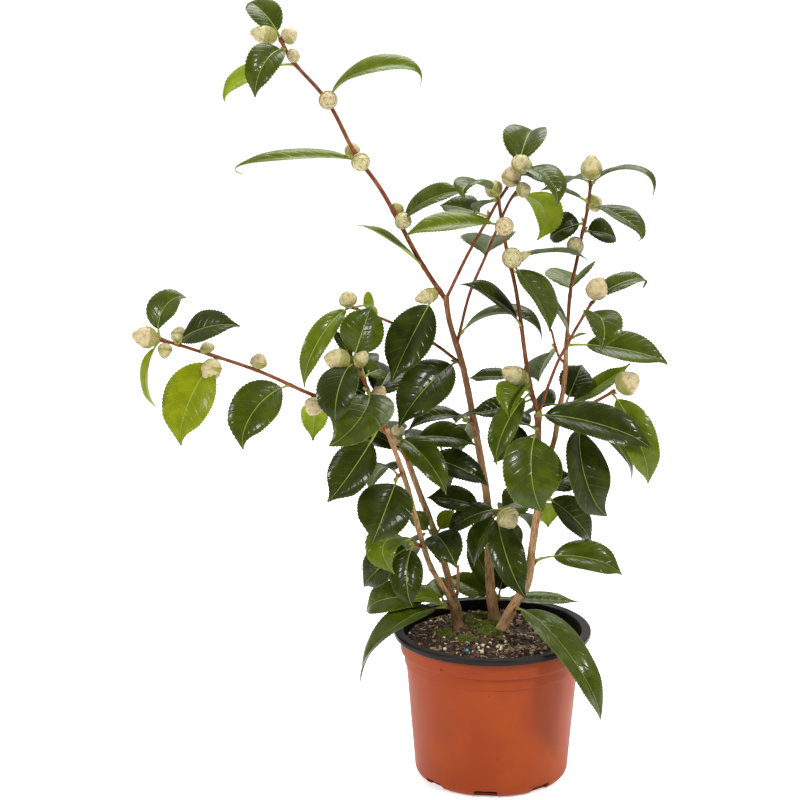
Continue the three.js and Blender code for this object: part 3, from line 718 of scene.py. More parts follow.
@dataclass(frozen=True)
class Paint:
    """Matt studio paint: one even colour that may glow faintly, so that it stays white far away."""

    name: str
    colour: str
    roughness: float
    glow: float = 0

    def material(self) -> Material:
        """Builds the finish."""
        colour = linear(self.colour)
        return Surface(self.name).finish({
            "Base Color": colour,
            "Roughness": self.roughness,
            "Emission Color": colour,
            "Emission Strength": self.glow,
        })


class Path:
    """A curve in space that is walked by shares of its length."""

    STEPS = 200
    NEAR = 1e-4

    def __init__(self, place: Callable[[float], Array]) -> None:
        """Measures the curve.

        Args:
            place: Gives the point at a parameter from 0 to 1.
        """
        self.place = place
        points = [place(i / self.STEPS) for i in range(self.STEPS + 1)]
        hops = [float(np.linalg.norm(b - a)) for a, b in zip(points, points[1:])]
        self.walked = np.concatenate([[0.0], np.cumsum(hops)])
        self.length = float(self.walked[-1])

    def parameter(self, share: float) -> float:
        """Gives the parameter at a share of the length."""
        return float(np.interp(share * self.length, self.walked, np.linspace(0, 1, self.STEPS + 1)))

    def at(self, share: float) -> Array:
        """Gives the point at a share of the length."""
        return self.place(self.parameter(share))

    def ahead(self, share: float) -> Array:
        """Gives the direction at a share of the length."""
        middle = self.parameter(share)
        return unit(self.place(min(1.0, middle + self.NEAR)) - self.place(max(0.0, middle - self.NEAR)))


def spline(points: Sequence[Sequence[float]]) -> Path:
    """Makes a centripetal Catmull-Rom curve through points.

    Args:
        points: The points, two or more.

    Returns:
        The curve.
    """
    knots = [np.array(p, float) for p in points]
    last = len(knots) - 1

    def place(t: float) -> Array:
        i = min(int(last * t), last - 1)
        w = last * t - i
        b, c = knots[i], knots[i + 1]
        a = knots[i - 1] if i else 2 * b - c
        d = knots[i + 2] if i + 2 <= last else 2 * c - b
        g, h, k = (max(float(np.sum((q - p) ** 2)) ** 0.25, 1e-4) for p, q in ((a, b), (b, c), (c, d)))
        leaving = ((b - a) / g - (c - a) / (g + h) + (c - b) / h) * h
        arriving = ((c - b) / h - (d - b) / (h + k) + (d - c) / k) * h
        square = -3 * b + 3 * c - 2 * leaving - arriving
        cube = 2 * b - 2 * c + leaving + arriving
        return b + leaving * w + square * w * w + cube * w ** 3

    return Path(place)


def bezier(first: Array, second: Array, third: Array, fourth: Array) -> Path:
    """Makes a cubic curve from its four control points."""

    def place(t: float) -> Array:
        s = 1 - t
        return s ** 3 * first + 3 * s * s * t * second + 3 * s * t * t * third + t ** 3 * fourth

    return Path(place)


def unit(vector: Sequence[float] | Array) -> Array:
    """Scales a vector to a length of 1."""
    vector = np.asarray(vector, float)
    return vector / np.linalg.norm(vector)


def across_from(direction: Array, side: Sequence[float] | Array) -> Array:
    """Gives the part of a side vector that is square to a direction, at a length of 1."""
    side = np.asarray(side, float)
    return unit(side - direction * np.dot(side, direction))


def even_angles(count: int) -> Array:
    """Gives the angles of even steps round a circle."""
    return np.arange(count) * math.tau / count


def ring(
    centre: Array, radius: Array | float, angles: Array, side: Array, across: Array,
) -> Array:
    """Gives the points of a ring.

    Args:
        centre: Its centre.
        radius: Its radius, or a column with the radius at each angle.
        angles: The angles of its points, from the first direction towards the second.
        side: The first direction in its plane.
        across: The second direction.

    Returns:
        The points, angles x 3.
    """
    return centre + radius * (np.outer(np.cos(angles), side) + np.outer(np.sin(angles), across))


class MeshBook:
    """Gathers the points, faces, finishes and map of one joined mesh, in mm."""

    NO_POINTS = np.empty((0, 3))

    def __init__(self, map_name: str) -> None:
        """Opens an empty book whose map has the given name."""
        self.map_name = map_name
        self.points: list[Array] = []
        self.corners: list[Array] = []
        self.sides: list[Array] = []
        self.finishes: list[Array] = []
        self.map: list[Array] = []
        self.count = 0

    def add(
        self, points: Array, faces: Array, finish: Array | int, places: Array,
    ) -> None:
        """Adds faces of one size.

        Args:
            points: New points, N x 3, or none for faces on the last points added.
            faces: Point numbers, M x sides, counted from this book's base.
            finish: A finish number for each face, or one for all.
            places: A map place for each corner, M x sides x 2.
        """
        self.points.append(points)
        self.corners.append(faces.ravel())
        self.sides.append(np.full(len(faces), faces.shape[1]))
        self.finishes.append(np.broadcast_to(finish, len(faces)))
        self.map.append(places.reshape(-1, 2))
        self.count += len(points)

    def skin(
        self, rings: Sequence[Array], columns: Sequence[int] | int,
        places: Sequence[Array] | None = None, tip: Array | None = None, cap: int | None = None,
    ) -> None:
        """Adds a closed skin over rings of equal size, each clockwise as seen looking along the skin.

        Args:
            rings: The points, rings x size x 3.
            columns: The finish number of each column of faces, or one for all.
            places: The map places, rings x (size + 1) x 2, or none where no finish reads the map.
            tip: An end point in place of a flat end.
            cap: The finish number of the flat ends, if it differs from the first column's.
        """
        rings = np.array(rings)
        count, size = rings.shape[:2]
        places = np.zeros((count, size + 1, 2)) if places is None else np.array(places)
        finishes = np.broadcast_to(columns, size)
        number = self.count + np.arange(count * size).reshape(count, size)
        turned_on = np.roll(number, -1, axis=1)
        quads = np.stack([number[:-1], turned_on[:-1], turned_on[1:], number[1:]], -1).reshape(-1, 4)
        corners = np.stack([places[:-1, :-1], places[:-1, 1:], places[1:, 1:], places[1:, :-1]], 2)
        foot = np.full(size, self.count + count * size)
        end = rings[-1].mean(0) if tip is None else tip
        points = np.vstack([rings.reshape(-1, 3), rings[0].mean(0), end])
        self.add(points, quads, np.tile(finishes, count - 1), corners.reshape(-1, 4, 2))
        closing = finishes[0] if cap is None else cap
        for fan, finish, first, second in (
            ((turned_on[0], number[0], foot), closing, places[0, 1:], places[0, :-1]),
            ((number[-1], turned_on[-1], foot + 1), closing if tip is None else finishes,
             places[-1, :-1], places[-1, 1:]),
        ):
            self.add(self.NO_POINTS, np.stack(fan, -1), finish, np.stack([first, second, second], 1))

    def solid(self, points: Array, faces: Array, finish: int) -> None:
        """Adds a small closed shape with no map.

        Args:
            points: Its points.
            faces: Its faces, counted from its own first point.
            finish: Its finish number.
        """
        self.add(points, faces + self.count, finish, np.zeros((*faces.shape, 2)))

    def piece(
        self, name: str, materials: Sequence[Material], crease: float,
    ) -> Thing:
        """Writes the book as one mesh object.

        Args:
            name: The piece's name.
            materials: The materials by finish number.
            crease: The angle in degrees past which an edge stays sharp.

        Returns:
            The new piece.
        """
        sides = np.concatenate(self.sides)
        corners = np.concatenate(self.corners)
        mesh = bpy.data.meshes.new(name)
        mesh.vertices.add(self.count)
        mesh.loops.add(len(corners))
        mesh.polygons.add(len(sides))
        for items, setting, values, kind in (
            (mesh.vertices, "co", np.vstack(self.points) * MM, np.float32),
            (mesh.loops, "vertex_index", corners, np.int32),
            (mesh.polygons, "loop_start", np.concatenate([[0], np.cumsum(sides)[:-1]]), np.int32),
            (mesh.polygons, "material_index", np.concatenate(self.finishes), np.int32),
        ):
            items.foreach_set(setting, values.astype(kind).ravel())
        layer = mesh.uv_layers.new(name=self.map_name)
        layer.uv.foreach_set("vector", np.concatenate(self.map).astype(np.float32).ravel())
        mesh.update(calc_edges=True)
        for material in materials:
            mesh.materials.append(material)
        piece = bpy.data.objects.new(name, mesh)
        bpy.context.scene.collection.objects.link(piece)
        smooth(piece, crease)
        return piece


def pick(*pieces: Thing) -> None:
    """Selects these objects alone and makes the first active."""
    if bpy.context.mode != "OBJECT":
        bpy.ops.object.mode_set(mode="OBJECT")
    bpy.ops.object.select_all(action="DESELECT")
    for piece in pieces:
        piece.select_set(True)
    bpy.context.view_layer.objects.active = pieces[0]


def smooth(piece: Thing, crease: float) -> None:
    """Shades a piece smooth, with edges sharper than the crease angle in degrees kept."""
    pick(piece)
    bpy.ops.object.shade_smooth_by_angle(angle=math.radians(crease))


def new_shape(
    add: Callable[..., object], place: Point, box: Point | None = None, **settings: object,
) -> Thing:
    """Adds a simple shape whose place is in its mesh, so that its object sits at the origin.

    Args:
        add: Blender's call for the shape.
        place: Its middle, in mm.
        box: Its size in mm, for a shape that is added 1 m large.
        settings: What the call takes besides the place.

    Returns:
        The new shape.
    """
    bpy.ops.object.select_all(action="DESELECT")
    add(location=[measure * MM for measure in place], **settings)
    piece = bpy.context.object
    if box:
        piece.scale = [measure * MM for measure in box]
    pick(piece)
    bpy.ops.object.transform_apply(location=True, rotation=True, scale=True)
    return piece


def apply_modifier(piece: Thing, kind: str, **settings: object) -> None:
    """Adds a modifier of a kind with its settings to a piece, and applies it."""
    modifier = piece.modifiers.new(kind, kind)
    for name, value in settings.items():
        setattr(modifier, name, value)
    pick(piece)
    bpy.ops.object.modifier_apply(modifier=modifier.name)


def joined(*pieces: Thing) -> Thing:
    """Joins objects into the first."""
    pick(*pieces)
    bpy.ops.object.join()
    return pieces[0]


def open_mesh() -> None:
    """Opens the active object's mesh for editing, with all of it selected."""
    bpy.ops.object.mode_set(mode="EDIT")
    bpy.ops.mesh.select_all(action="SELECT")


def close_mesh() -> None:
    """Turns all faces outwards and ends the editing of the mesh."""
    bpy.ops.mesh.select_all(action="SELECT")
    bpy.ops.mesh.normals_make_consistent(inside=False)
    bpy.ops.object.mode_set(mode="OBJECT")


def finish_piece(piece: Thing, slot: str, *nodes: str) -> None:
    """Makes a piece ride on the plant's body and stand for its solids.

    Args:
        piece: The finished piece.
        slot: The name of a material slot; not used.
        nodes: The solids that it replaces.
    """
    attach(piece, BODY)
    if nodes:
        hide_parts(*nodes)
    LOG.info("%s: %d triangles", piece.name, sum(len(face.vertices) - 2 for face in piece.data.polygons))


def turned(name: str, profile: Sequence[Pair], sides: int, closed: bool) -> Thing:
    """Draws a ring and extrudes it round a profile, as on a lathe.

    Args:
        name: The new object's name.
        profile: Radius and height of each step of the profile.
        sides: How many sides the ring has.
        closed: Whether the last ring is bridged to the first. Otherwise both are filled.

    Returns:
        The closed shape.
    """
    radius, height = profile[0]
    piece = new_shape(
        bpy.ops.mesh.primitive_circle_add, (0, 0, height),
        vertices=sides, radius=radius * MM, fill_type="NOTHING",
    )
    piece.name = name
    open_mesh()
    for wider, higher in profile[1:]:
        bpy.ops.mesh.extrude_region_move(TRANSFORM_OT_translate={"value": (0, 0, (higher - height) * MM)})
        share = wider / radius
        bpy.ops.transform.resize(value=(share, share, 1), center_override=(0, 0, higher * MM))
        radius, height = wider, higher
    if not closed:
        bpy.ops.mesh.edge_face_add()
    shape = bmesh.from_edit_mesh(piece.data)
    for number, vertex in enumerate(shape.verts):
        vertex.select = number < sides or (closed and vertex.select)
    shape.select_flush_mode()
    bmesh.update_edit_mesh(piece.data)
    if closed:
        bpy.ops.mesh.bridge_edge_loops()
    else:
        bpy.ops.mesh.edge_face_add()
    close_mesh()
    return piece


def ring_of_copies(piece: Thing, count: int, start: float = 0) -> Thing:
    """Copies a piece round the vertical axis and joins the copies.

    Args:
        piece: The piece, whose place is in its mesh. It is used up.
        count: How many copies the ring has.
        start: The turn of the first in degrees.

    Returns:
        The joined ring.
    """
    copies = []
    for i in range(count):
        copy = piece.copy()
        copy.data = piece.data.copy()
        copy.data.transform(Matrix.Rotation(math.radians(start + 360 * i / count), 4, "Z"))
        bpy.context.scene.collection.objects.link(copy)
        copies.append(copy)
    bpy.data.objects.remove(piece)
    return joined(*copies)


def rounded(corner: Pair, radius: float, start: float, end: float, steps: int) -> list[Pair]:
    """Gives the profile points of a round corner.

    Args:
        corner: The arc's centre, as radius and height.
        radius: The arc's radius.
        start: Its first angle in degrees, from outwards towards up.
        end: Its last angle.
        steps: How many steps it has.

    Returns:
        The points of the arc.
    """
    angles = [math.radians(start + (end - start) * i / steps) for i in range(steps + 1)]
    return [(corner[0] + radius * math.cos(a), corner[1] + radius * math.sin(a)) for a in angles]


@dataclass
class Pot:
    """The two-layer nursery pot: a terracotta coloured wall with a dark inner layer rolled over it."""

    height: float = 116
    lip_radius: float = 74.8
    lip_tall: float = 4.6
    skirt: float = 8
    collar_radius: float = 69.8
    collar_bottom: float = 98.6
    body_top_radius: float = 66.4
    ridge_height: float = 89.8
    ridge_step: float = 1.2
    base_radius: float = 58.4
    base_corner: float = 8
    wall: float = 1.6
    floor: float = 2.2
    sides: int = 192
    crease: float = 32
    notches: int = 8
    notch_width: float = 17.5
    notch_tall: float = 6.4
    notch_depth: float = 9
    notch_turn: float = 264
    notch_corner: float = 1.8
    ribs: int = 90
    rib_tall: float = 5.5
    rib_width: float = 0.8
    rib_depth: float = 0.3
    rib_edge: float = 0.2
    gap: float = 0.3
    pips: tuple[Point, ...] = ((-124.9, 102.2, 1.0), (-93.8, 84.3, 0.7), (-87.3, 32.8, 1.0))
    wall_finish: MouldedPlastic = MouldedPlastic(
        "Moulded polypropylene, terracotta", "#86330A", "#8F3B0E", 0.48,
    )
    lip_finish: MouldedPlastic = MouldedPlastic(
        "Moulded polypropylene, black", "#15100E", "#1C1613", 0.42, cloud_size=12,
    )

    def dressed(
        self, layer: Thing, parts: Sequence[Thing], finish: MouldedPlastic,
    ) -> Thing:
        """Gives a turned layer and its small parts one finish, and joins them.

        Args:
            layer: The turned layer.
            parts: What sits on it.
            finish: The finish of both.

        Returns:
            The finished layer.
        """
        material = finish.material()
        for piece in (layer, *parts):
            piece.data.materials.append(material)
        smooth(joined(layer, *parts), self.crease)
        return layer

    def build_wall(self) -> Thing:
        """Turns the wall, cuts its drain notches and adds the mould's pips.

        Returns:
            The finished wall.
        """
        collar_top = self.height - self.lip_tall - self.gap
        body_top = self.body_top_radius
        profile = [
            *rounded((self.base_radius - self.base_corner, self.base_corner), self.base_corner, -90, 0, 10),
            (body_top - self.ridge_step, self.ridge_height - 0.9),
            *rounded((body_top - 0.4, self.ridge_height), 0.4, -60, 0, 3),
            (body_top + 0.1, self.ridge_height + 0.9),
            (body_top + 0.3, self.collar_bottom - 0.2),
            (body_top + 0.8, self.collar_bottom),
            *rounded((self.collar_radius - 1.6, self.collar_bottom + 1.2), 1.2, -90, 0, 4),
            (self.collar_radius - 0.2, self.collar_bottom + 3),
            (self.collar_radius, collar_top),
            (self.collar_radius - self.wall, collar_top),
            (body_top + 0.3 - self.wall, self.collar_bottom - 1),
            (body_top - self.ridge_step - self.wall, self.ridge_height - 1),
            (self.base_radius - self.wall, self.base_corner),
            (self.base_radius - self.wall - 3, self.floor),
        ]
        wall = turned("pot_wall", profile, self.sides, closed=False)
        cutter = self.build_notches()
        apply_modifier(wall, "BOOLEAN", operation="DIFFERENCE", solver="EXACT", object=cutter)
        bpy.data.objects.remove(cutter)
        pips = [self.build_pip(*pip) for pip in self.pips]
        return self.dressed(wall, pips, self.wall_finish)

    def build_notches(self) -> Thing:
        """Makes the ring of blocks with arched tops that cuts the drain notches.

        Returns:
            The ring.
        """
        block = new_shape(
            bpy.ops.mesh.primitive_cube_add,
            (self.base_radius + 1 - self.notch_depth / 2, 0, self.notch_tall / 2 - 0.5),
            (self.notch_depth, self.notch_width, self.notch_tall + 1), size=1,
        )
        weights = block.data.attributes.new("bevel_weight_edge", "FLOAT", "EDGE")
        top = self.notch_tall * MM * 0.9
        for edge in block.data.edges:
            ends = [block.data.vertices[i].co for i in edge.vertices]
            level = abs(ends[0].y - ends[1].y) < 1e-6
            weights.data[edge.index].value = float(level and all(end.z > top for end in ends))
        apply_modifier(block, "BEVEL", width=self.notch_corner * MM, segments=5, limit_method="WEIGHT")
        return ring_of_copies(block, self.notches, self.notch_turn)

    def build_pip(self, turn: float, height: float, radius: float) -> Thing:
        """Makes one low round mould pip on the wall.

        Args:
            turn: Its bearing in degrees from +X.
            height: Its height.
            radius: Its radius.

        Returns:
            The pip.
        """
        share = (height - self.base_corner) / (self.ridge_height - self.base_corner)
        wall = self.base_radius + (self.body_top_radius - self.ridge_step - self.base_radius) * min(share, 1)
        if height > self.collar_bottom:
            wall = self.collar_radius - 0.2
        bearing = math.radians(turn)
        place = (wall * math.cos(bearing), wall * math.sin(bearing), height)
        return new_shape(
            bpy.ops.mesh.primitive_uv_sphere_add, place, segments=16, ring_count=8, radius=radius * MM)

    def build_lip(self) -> Thing:
        """Turns the rolled lip with its skirt inside the wall, and adds the ribs inside it.

        Returns:
            The finished lip.
        """
        outside = self.collar_radius - self.wall - self.gap
        under = self.height - self.lip_tall
        profile = [
            (outside - 0.5, under - self.skirt),
            (outside, under),
            *rounded((self.lip_radius - 1.2, under + 1.2), 1.2, -90, 0, 4),
            (self.lip_radius - 0.15, under + 2.6),
            *rounded((self.lip_radius - 1.5, self.height - 1.5), 1.5, 0, 90, 5),
            (self.lip_radius - 3.2, self.height - 0.25),
            (outside + 1.2, self.height - 0.3),
            *rounded((outside + 0.6, self.height - 1.5), 1.2, 100, 180, 4),
            (outside - 0.9, self.height - 3),
            (outside - 1.4, under - self.skirt),
        ]
        lip = turned("pot_rim_layer", profile, self.sides, closed=True)
        rib = new_shape(
            bpy.ops.mesh.primitive_cube_add, (outside - 1, 0, self.height - 3.2 - self.rib_tall / 2),
            (self.rib_depth, self.rib_width, self.rib_tall), size=1,
        )
        apply_modifier(rib, "BEVEL", width=self.rib_edge * MM, segments=2)
        return self.dressed(lip, [ring_of_copies(rib, self.ribs)], self.lip_finish)

    def build(self) -> None:
        """Builds and places both layers."""
        finish_piece(self.build_wall(), "pot_plastic", "pot")
        finish_piece(self.build_lip(), "lip_plastic", "pot_lip")


def rough_ball(divisions: int) -> tuple[Array, Array]:
    """Gives a unit ball of flat faces.

    Args:
        divisions: 1 for 20 faces or 2 for 80.

    Returns:
        Its points and its faces.
    """
    ball = bmesh.new()
    bmesh.ops.create_icosphere(ball, subdivisions=divisions, radius=1)
    points = np.array([vertex.co[:] for vertex in ball.verts])
    corners = np.array([[vertex.index for vertex in face.verts] for face in ball.faces])
    ball.free()
    return points, corners


def turned_about(rolls: random.Random) -> Array:
    """Gives a random turn in space as a 3 x 3 matrix."""
    angles = [rolls.uniform(0, math.tau) for _ in range(3)]
    first, second, third = (Matrix.Rotation(angle, 3, axis) for angle, axis in zip(angles, "ZXZ"))
    return np.array(first @ second @ third)


class Crumb(IntEnum):
    """The kinds of litter, in the order of their finishes."""

    DARK_BARK = 0
    BROWN_BARK = 1
    FIBRE = 2
    HUSK = 3
    MOSS = 4
    BEAD = 5
    BLUE_BEAD = 6


@dataclass
class PottingMix:
    """The top of the potting mix: a rough crown of compost with chips, fibres, moss and feed beads."""

    top: float = 110
    edge: float = 107
    depth: float = 6
    radius: float = 65.4
    crown: float = 46
    sides: int = 180
    rings: int = 44
    clod_size: float = 9
    clod_tall: float = 1.1
    calm_reach: float = 5
    seed: int = 7
    chips: int = 2600
    chip_sizes: tuple[float, ...] = (0.6, 0.8, 1.0, 1.3, 1.9)
    chip_kinds: tuple[Crumb, ...] = (Crumb.DARK_BARK, Crumb.BROWN_BARK, Crumb.FIBRE, Crumb.HUSK)
    chip_shares: tuple[float, ...] = (8, 6, 1.6, 0.4)
    slivers: int = 190
    sliver_kinds: tuple[Crumb, ...] = (Crumb.BROWN_BARK, Crumb.FIBRE, Crumb.HUSK)
    sliver_shares: tuple[float, ...] = (3, 4, 1)
    fibres: int = 150
    fibre_kinds: tuple[Crumb, ...] = (Crumb.FIBRE, Crumb.FIBRE, Crumb.HUSK, Crumb.BROWN_BARK)
    moss_shoots: int = 3400
    moss_tall: float = 1.6
    moss_spots: tuple[Point, ...] = (
        (-12.6, 16.9, 12), (-23.7, 32, 8), (-2, 2, 9), (-36, 2, 8), (-9, 40, 7), (4, 20, 9), (-20, -12, 6),
    )
    beads: int = 20
    bead_spot: Pair = (-3, -30)
    bead_spread: Pair = (11, 7)
    stray_beads: int = 14
    blue_bead: Pair = (-20.1, -37.2)
    bead_radius: float = 1.4
    lump_bits: int = 110
    lump_spot: Pair = (23, -34)
    lump_spread: float = 15
    lump_tall: float = 2.2
    bed_finish: Grit = Grit("Peat compost, damp", "#1A110B", "#35251A", 1.7)
    chip_finishes: tuple[Grit, ...] = (
        Grit("Composted bark, dark", "#22160E", "#3C2A1E", 1.1),
        Grit("Composted bark, brown", "#452C1A", "#624430", 0.9),
        Grit("Wood fibre, pale", "#7E6448", "#A3896A", 0.8),
        Grit("Perlite and husk, cream", "#A99878", "#C9BC9C", 0.7),
        Grit("Moss, green", "#48560C", "#8A9824", 0.9),
        Grit("Feed bead resin, cream", "#D3CBA8", "#C2B78C", 1.5, 0.5, 0.2),
        Grit("Feed bead resin, blue", "#1E7FA8", "#2E93BC", 1.5, 0.5, 0.2),
    )

    def height(self, x: float, y: float) -> float:
        """Gives the bed's height at a place."""
        out = math.hypot(x, y)
        share = max(0.0, (out - self.crown) / (self.radius - self.crown))
        level = self.top - 0.6 + (self.edge - self.top) * share
        rough = noise.fractal(Vector((x / self.clod_size, y / self.clod_size, 3.1)), 0.8, 2.1, 5)
        mound = sum(
            self.moss_tall * math.exp(-((x - a) ** 2 + (y - b) ** 2) / (r * r)) for a, b, r in self.moss_spots
        )
        calm = min(1.0, max(0.0, (self.radius - out) / self.calm_reach))
        return level + (self.clod_tall * rough + mound) * calm

    def build_bed(self) -> Thing:
        """Insets a disc ring by ring and roughens its top.

        Returns:
            The bed.
        """
        bed = new_shape(
            bpy.ops.mesh.primitive_circle_add, (0, 0, self.edge - self.depth),
            vertices=self.sides, radius=self.radius * MM, fill_type="NGON",
        )
        bed.name = "potting_mix_bed"
        open_mesh()
        bpy.ops.mesh.extrude_region_move(TRANSFORM_OT_translate={"value": (0, 0, self.depth * MM)})
        for _ in range(self.rings):
            bpy.ops.mesh.inset(thickness=self.radius / (self.rings + 1) * MM)
        bpy.ops.mesh.poke()
        close_mesh()
        for vertex in bed.data.vertices:
            if vertex.co.z > (self.edge - 1) * MM:
                vertex.co.z = self.height(vertex.co.x / MM, vertex.co.y / MM) * MM
        bed.data.materials.append(self.bed_finish.material())
        smooth(bed, 70)
        return bed

    def inside(self, x: float, y: float, margin: float) -> Pair:
        """Pulls a place in, so that it stays a margin clear of the pot's wall."""
        share = min(1.0, (self.radius - margin) / max(math.hypot(x, y), 1e-6))
        return x * share, y * share

    def spots(self, rolls: random.Random, count: int) -> Iterator[Pair]:
        """Yields places spread evenly over the bed."""
        for _ in range(count):
            out = (self.radius - 1.5) * math.sqrt(rolls.random())
            turn = rolls.uniform(0, math.tau)
            yield out * math.cos(turn), out * math.sin(turn)

    def spots_near(self, rolls: random.Random, count: int, spot: Pair, spread: Pair) -> Iterator[Pair]:
        """Yields places that gather round a spot, with their spread across and in depth."""
        for _ in range(count):
            yield spot[0] + rolls.gauss(0, spread[0]), spot[1] + rolls.gauss(0, spread[1])

    def build_litter(self) -> Thing:
        """Scatters chips, slivers, fibres, moss and feed beads.

        Returns:
            The litter as one joined piece.
        """
        rolls = random.Random(self.seed)
        book = MeshBook("litter")
        ball, faces = rough_ball(1)
        bead, bead_faces = rough_ball(2)
        roll = rolls.uniform

        def lay(x: float, y: float, lift: float, shape: Array, turn: Array, finish: int) -> None:
            book.solid((ball * shape) @ turn.T + (x, y, self.height(x, y) + lift), faces, finish)

        for x, y in self.spots(rolls, self.chips):
            size = rolls.choice(self.chip_sizes)
            shape = np.array([size * roll(0.7, 1.9), size * roll(0.6, 1.1), size * 0.55])
            shape = shape * (0.8 + 0.4 * rolls.random())
            turn = turned_about(rolls)
            lay(x, y, 0.25 * size, shape, turn, rolls.choices(self.chip_kinds, self.chip_shares)[0])
        for x, y in self.spots(rolls, self.slivers):
            length = roll(3, 8)
            shape = np.array([length / 2, roll(0.6, 1.4), roll(0.4, 0.8)])
            turn = Matrix.Rotation(roll(0, math.tau), 3, "Z") @ Matrix.Rotation(roll(-0.5, 0.5), 3, "Y")
            finish = rolls.choices(self.sliver_kinds, self.sliver_shares)[0]
            lay(*self.inside(x, y, length), 0.7, shape, np.array(turn), finish)
        spread = self.lump_spread
        for x, y in self.spots_near(rolls, self.lump_bits, self.lump_spot, (spread / 2, spread / 4)):
            x, y = self.inside(x, y, 3)
            shape = np.array([roll(1.2, 3), roll(0.7, 1.4), roll(0.5, 1)])
            aside, back = (x - self.lump_spot[0]) / spread, (y - self.lump_spot[1]) / spread
            lift = self.lump_tall * math.exp(-aside ** 2 - (back * 2) ** 2)
            lay(x, y, lift, shape, turned_about(rolls), rolls.choice(self.fibre_kinds))
        for x, y in self.spots(rolls, self.fibres):
            self.add_fibre(book, x, y, rolls)
        for a, b, r in self.moss_spots:
            shoots = self.moss_shoots // len(self.moss_spots)
            for x, y in self.spots_near(rolls, shoots, (a, b), (r / 2, r / 2)):
                self.add_moss_shoot(book, *self.inside(x, y, 1), rolls)
        places = list(self.spots_near(rolls, self.beads, self.bead_spot, self.bead_spread))
        for x, y in (*places, *self.spots(rolls, self.stray_beads)):
            x, y = self.inside(x, y, 2)
            size = self.bead_radius * roll(0.75, 1.1)
            book.solid(bead * size + (x, y, self.height(x, y) + size * 0.6), bead_faces, Crumb.BEAD)
        x, y = self.blue_bead
        points = bead * self.bead_radius * 1.1 + (x, y, self.height(x, y) + 1.2)
        book.solid(points, bead_faces, Crumb.BLUE_BEAD)
        return book.piece("potting_mix_litter", [finish.material() for finish in self.chip_finishes], 30)

    def add_fibre(self, book: MeshBook, x: float, y: float, rolls: random.Random) -> None:
        """Adds one thin bent fibre that lies on the bed."""
        length = rolls.uniform(5, 15)
        turn = rolls.uniform(0, math.tau)
        bend = rolls.uniform(-1, 1) * length * 0.3
        radius = rolls.uniform(0.12, 0.3)
        ahead = np.array([math.cos(turn), math.sin(turn), 0])
        aside = np.array([-math.sin(turn), math.cos(turn), 0])
        rings = []
        for share in np.arange(7) / 6 - 0.5:
            place = np.array([x, y, 0]) + ahead * length * share + aside * bend * (1 - 4 * share * share)
            place = self.inside(place[0], place[1], 1)
            centre = np.array([*place, self.height(*place) + 0.9 + 0.5 * math.cos(share * 5)])
            rings.append(ring(centre, radius, even_angles(3), aside, np.cross(ahead, aside)))
        book.skin(rings, rolls.choice(self.fibre_kinds))

    def add_moss_shoot(self, book: MeshBook, x: float, y: float, rolls: random.Random) -> None:
        """Adds one moss shoot: five thin spikes that lean out of one place."""
        base = self.height(x, y) - 0.2
        for spike in even_angles(5):
            turn = spike + rolls.random()
            tall = rolls.uniform(1.2, 2.8)
            lean = rolls.uniform(0.5, 1.3)
            angles = turn + even_angles(3)
            foot = np.stack([x + 0.3 * np.cos(angles), y + 0.3 * np.sin(angles), np.full(3, base)], -1)
            tip = (x + lean * math.cos(turn), y + lean * math.sin(turn), base + tall)
            faces = np.array([[0, 1, 3], [1, 2, 3], [2, 0, 3], [0, 2, 1]])
            book.solid(np.vstack([foot, tip]), faces, Crumb.MOSS)

    def build(self) -> None:
        """Builds and places the bed and its litter."""
        finish_piece(self.build_bed(), "soil", "potting_soil")
        finish_piece(self.build_litter(), "soil")


@dataclass
class Framework:
    """The centre lines of all limbs and stems, by name."""

    soil_top: float = 110
    clearance: float = 0.3
    lines: dict[str, Path] = field(default_factory=dict)

    def __post_init__(self) -> None:
        """Draws every line, each after the one that it grows on."""
        for name, limb in STEMS.items():
            if limb.on:
                start = self.lines[limb.on].at(limb.at)
            else:
                start = (*limb.foot, self.soil_top + self.clearance)
            self.lines[name] = spline([start, *limb.bends])


def stem_rings(
    line: Path, step: float, sides: int, radius: Callable[[float, Array], Array],
    settling_reach: float = 0,
) -> tuple[list[Array], list[Array]]:
    """Sweeps a ring along a line.

    Args:
        line: The centre line.
        step: The step between rings in mm.
        sides: How many sides a ring has.
        radius: Gives the radius in every direction from the distance walked and the ring's angles.
        settling_reach: How far the rings take to turn from level at the foot to square to the line.

    Returns:
        The rings and their map places in cm, for MeshBook.skin.
    """
    count = max(3, round(line.length / step)) + 1
    angles = even_angles(sides)
    side = np.array([1.0, 0, 0])
    rings, places = [], []
    for k in range(count):
        share = k / (count - 1)
        walked = share * line.length
        ahead = line.ahead(share)
        if settling_reach:
            settling = max(0.0, 1 - walked / settling_reach)
            ahead = unit(ahead * (1 - settling) + np.array([0, 0, 1.0]) * settling)
        side = across_from(ahead, side)
        reach = radius(walked, angles)
        rings.append(ring(line.at(share), reach[:, None], angles, side, np.cross(ahead, side)))
        round_way = np.linspace(0, math.tau * float(reach.mean()) / MAP_UNIT, sides + 1)
        places.append(np.stack([round_way, np.full(sides + 1, walked / MAP_UNIT)], -1))
    return rings, places


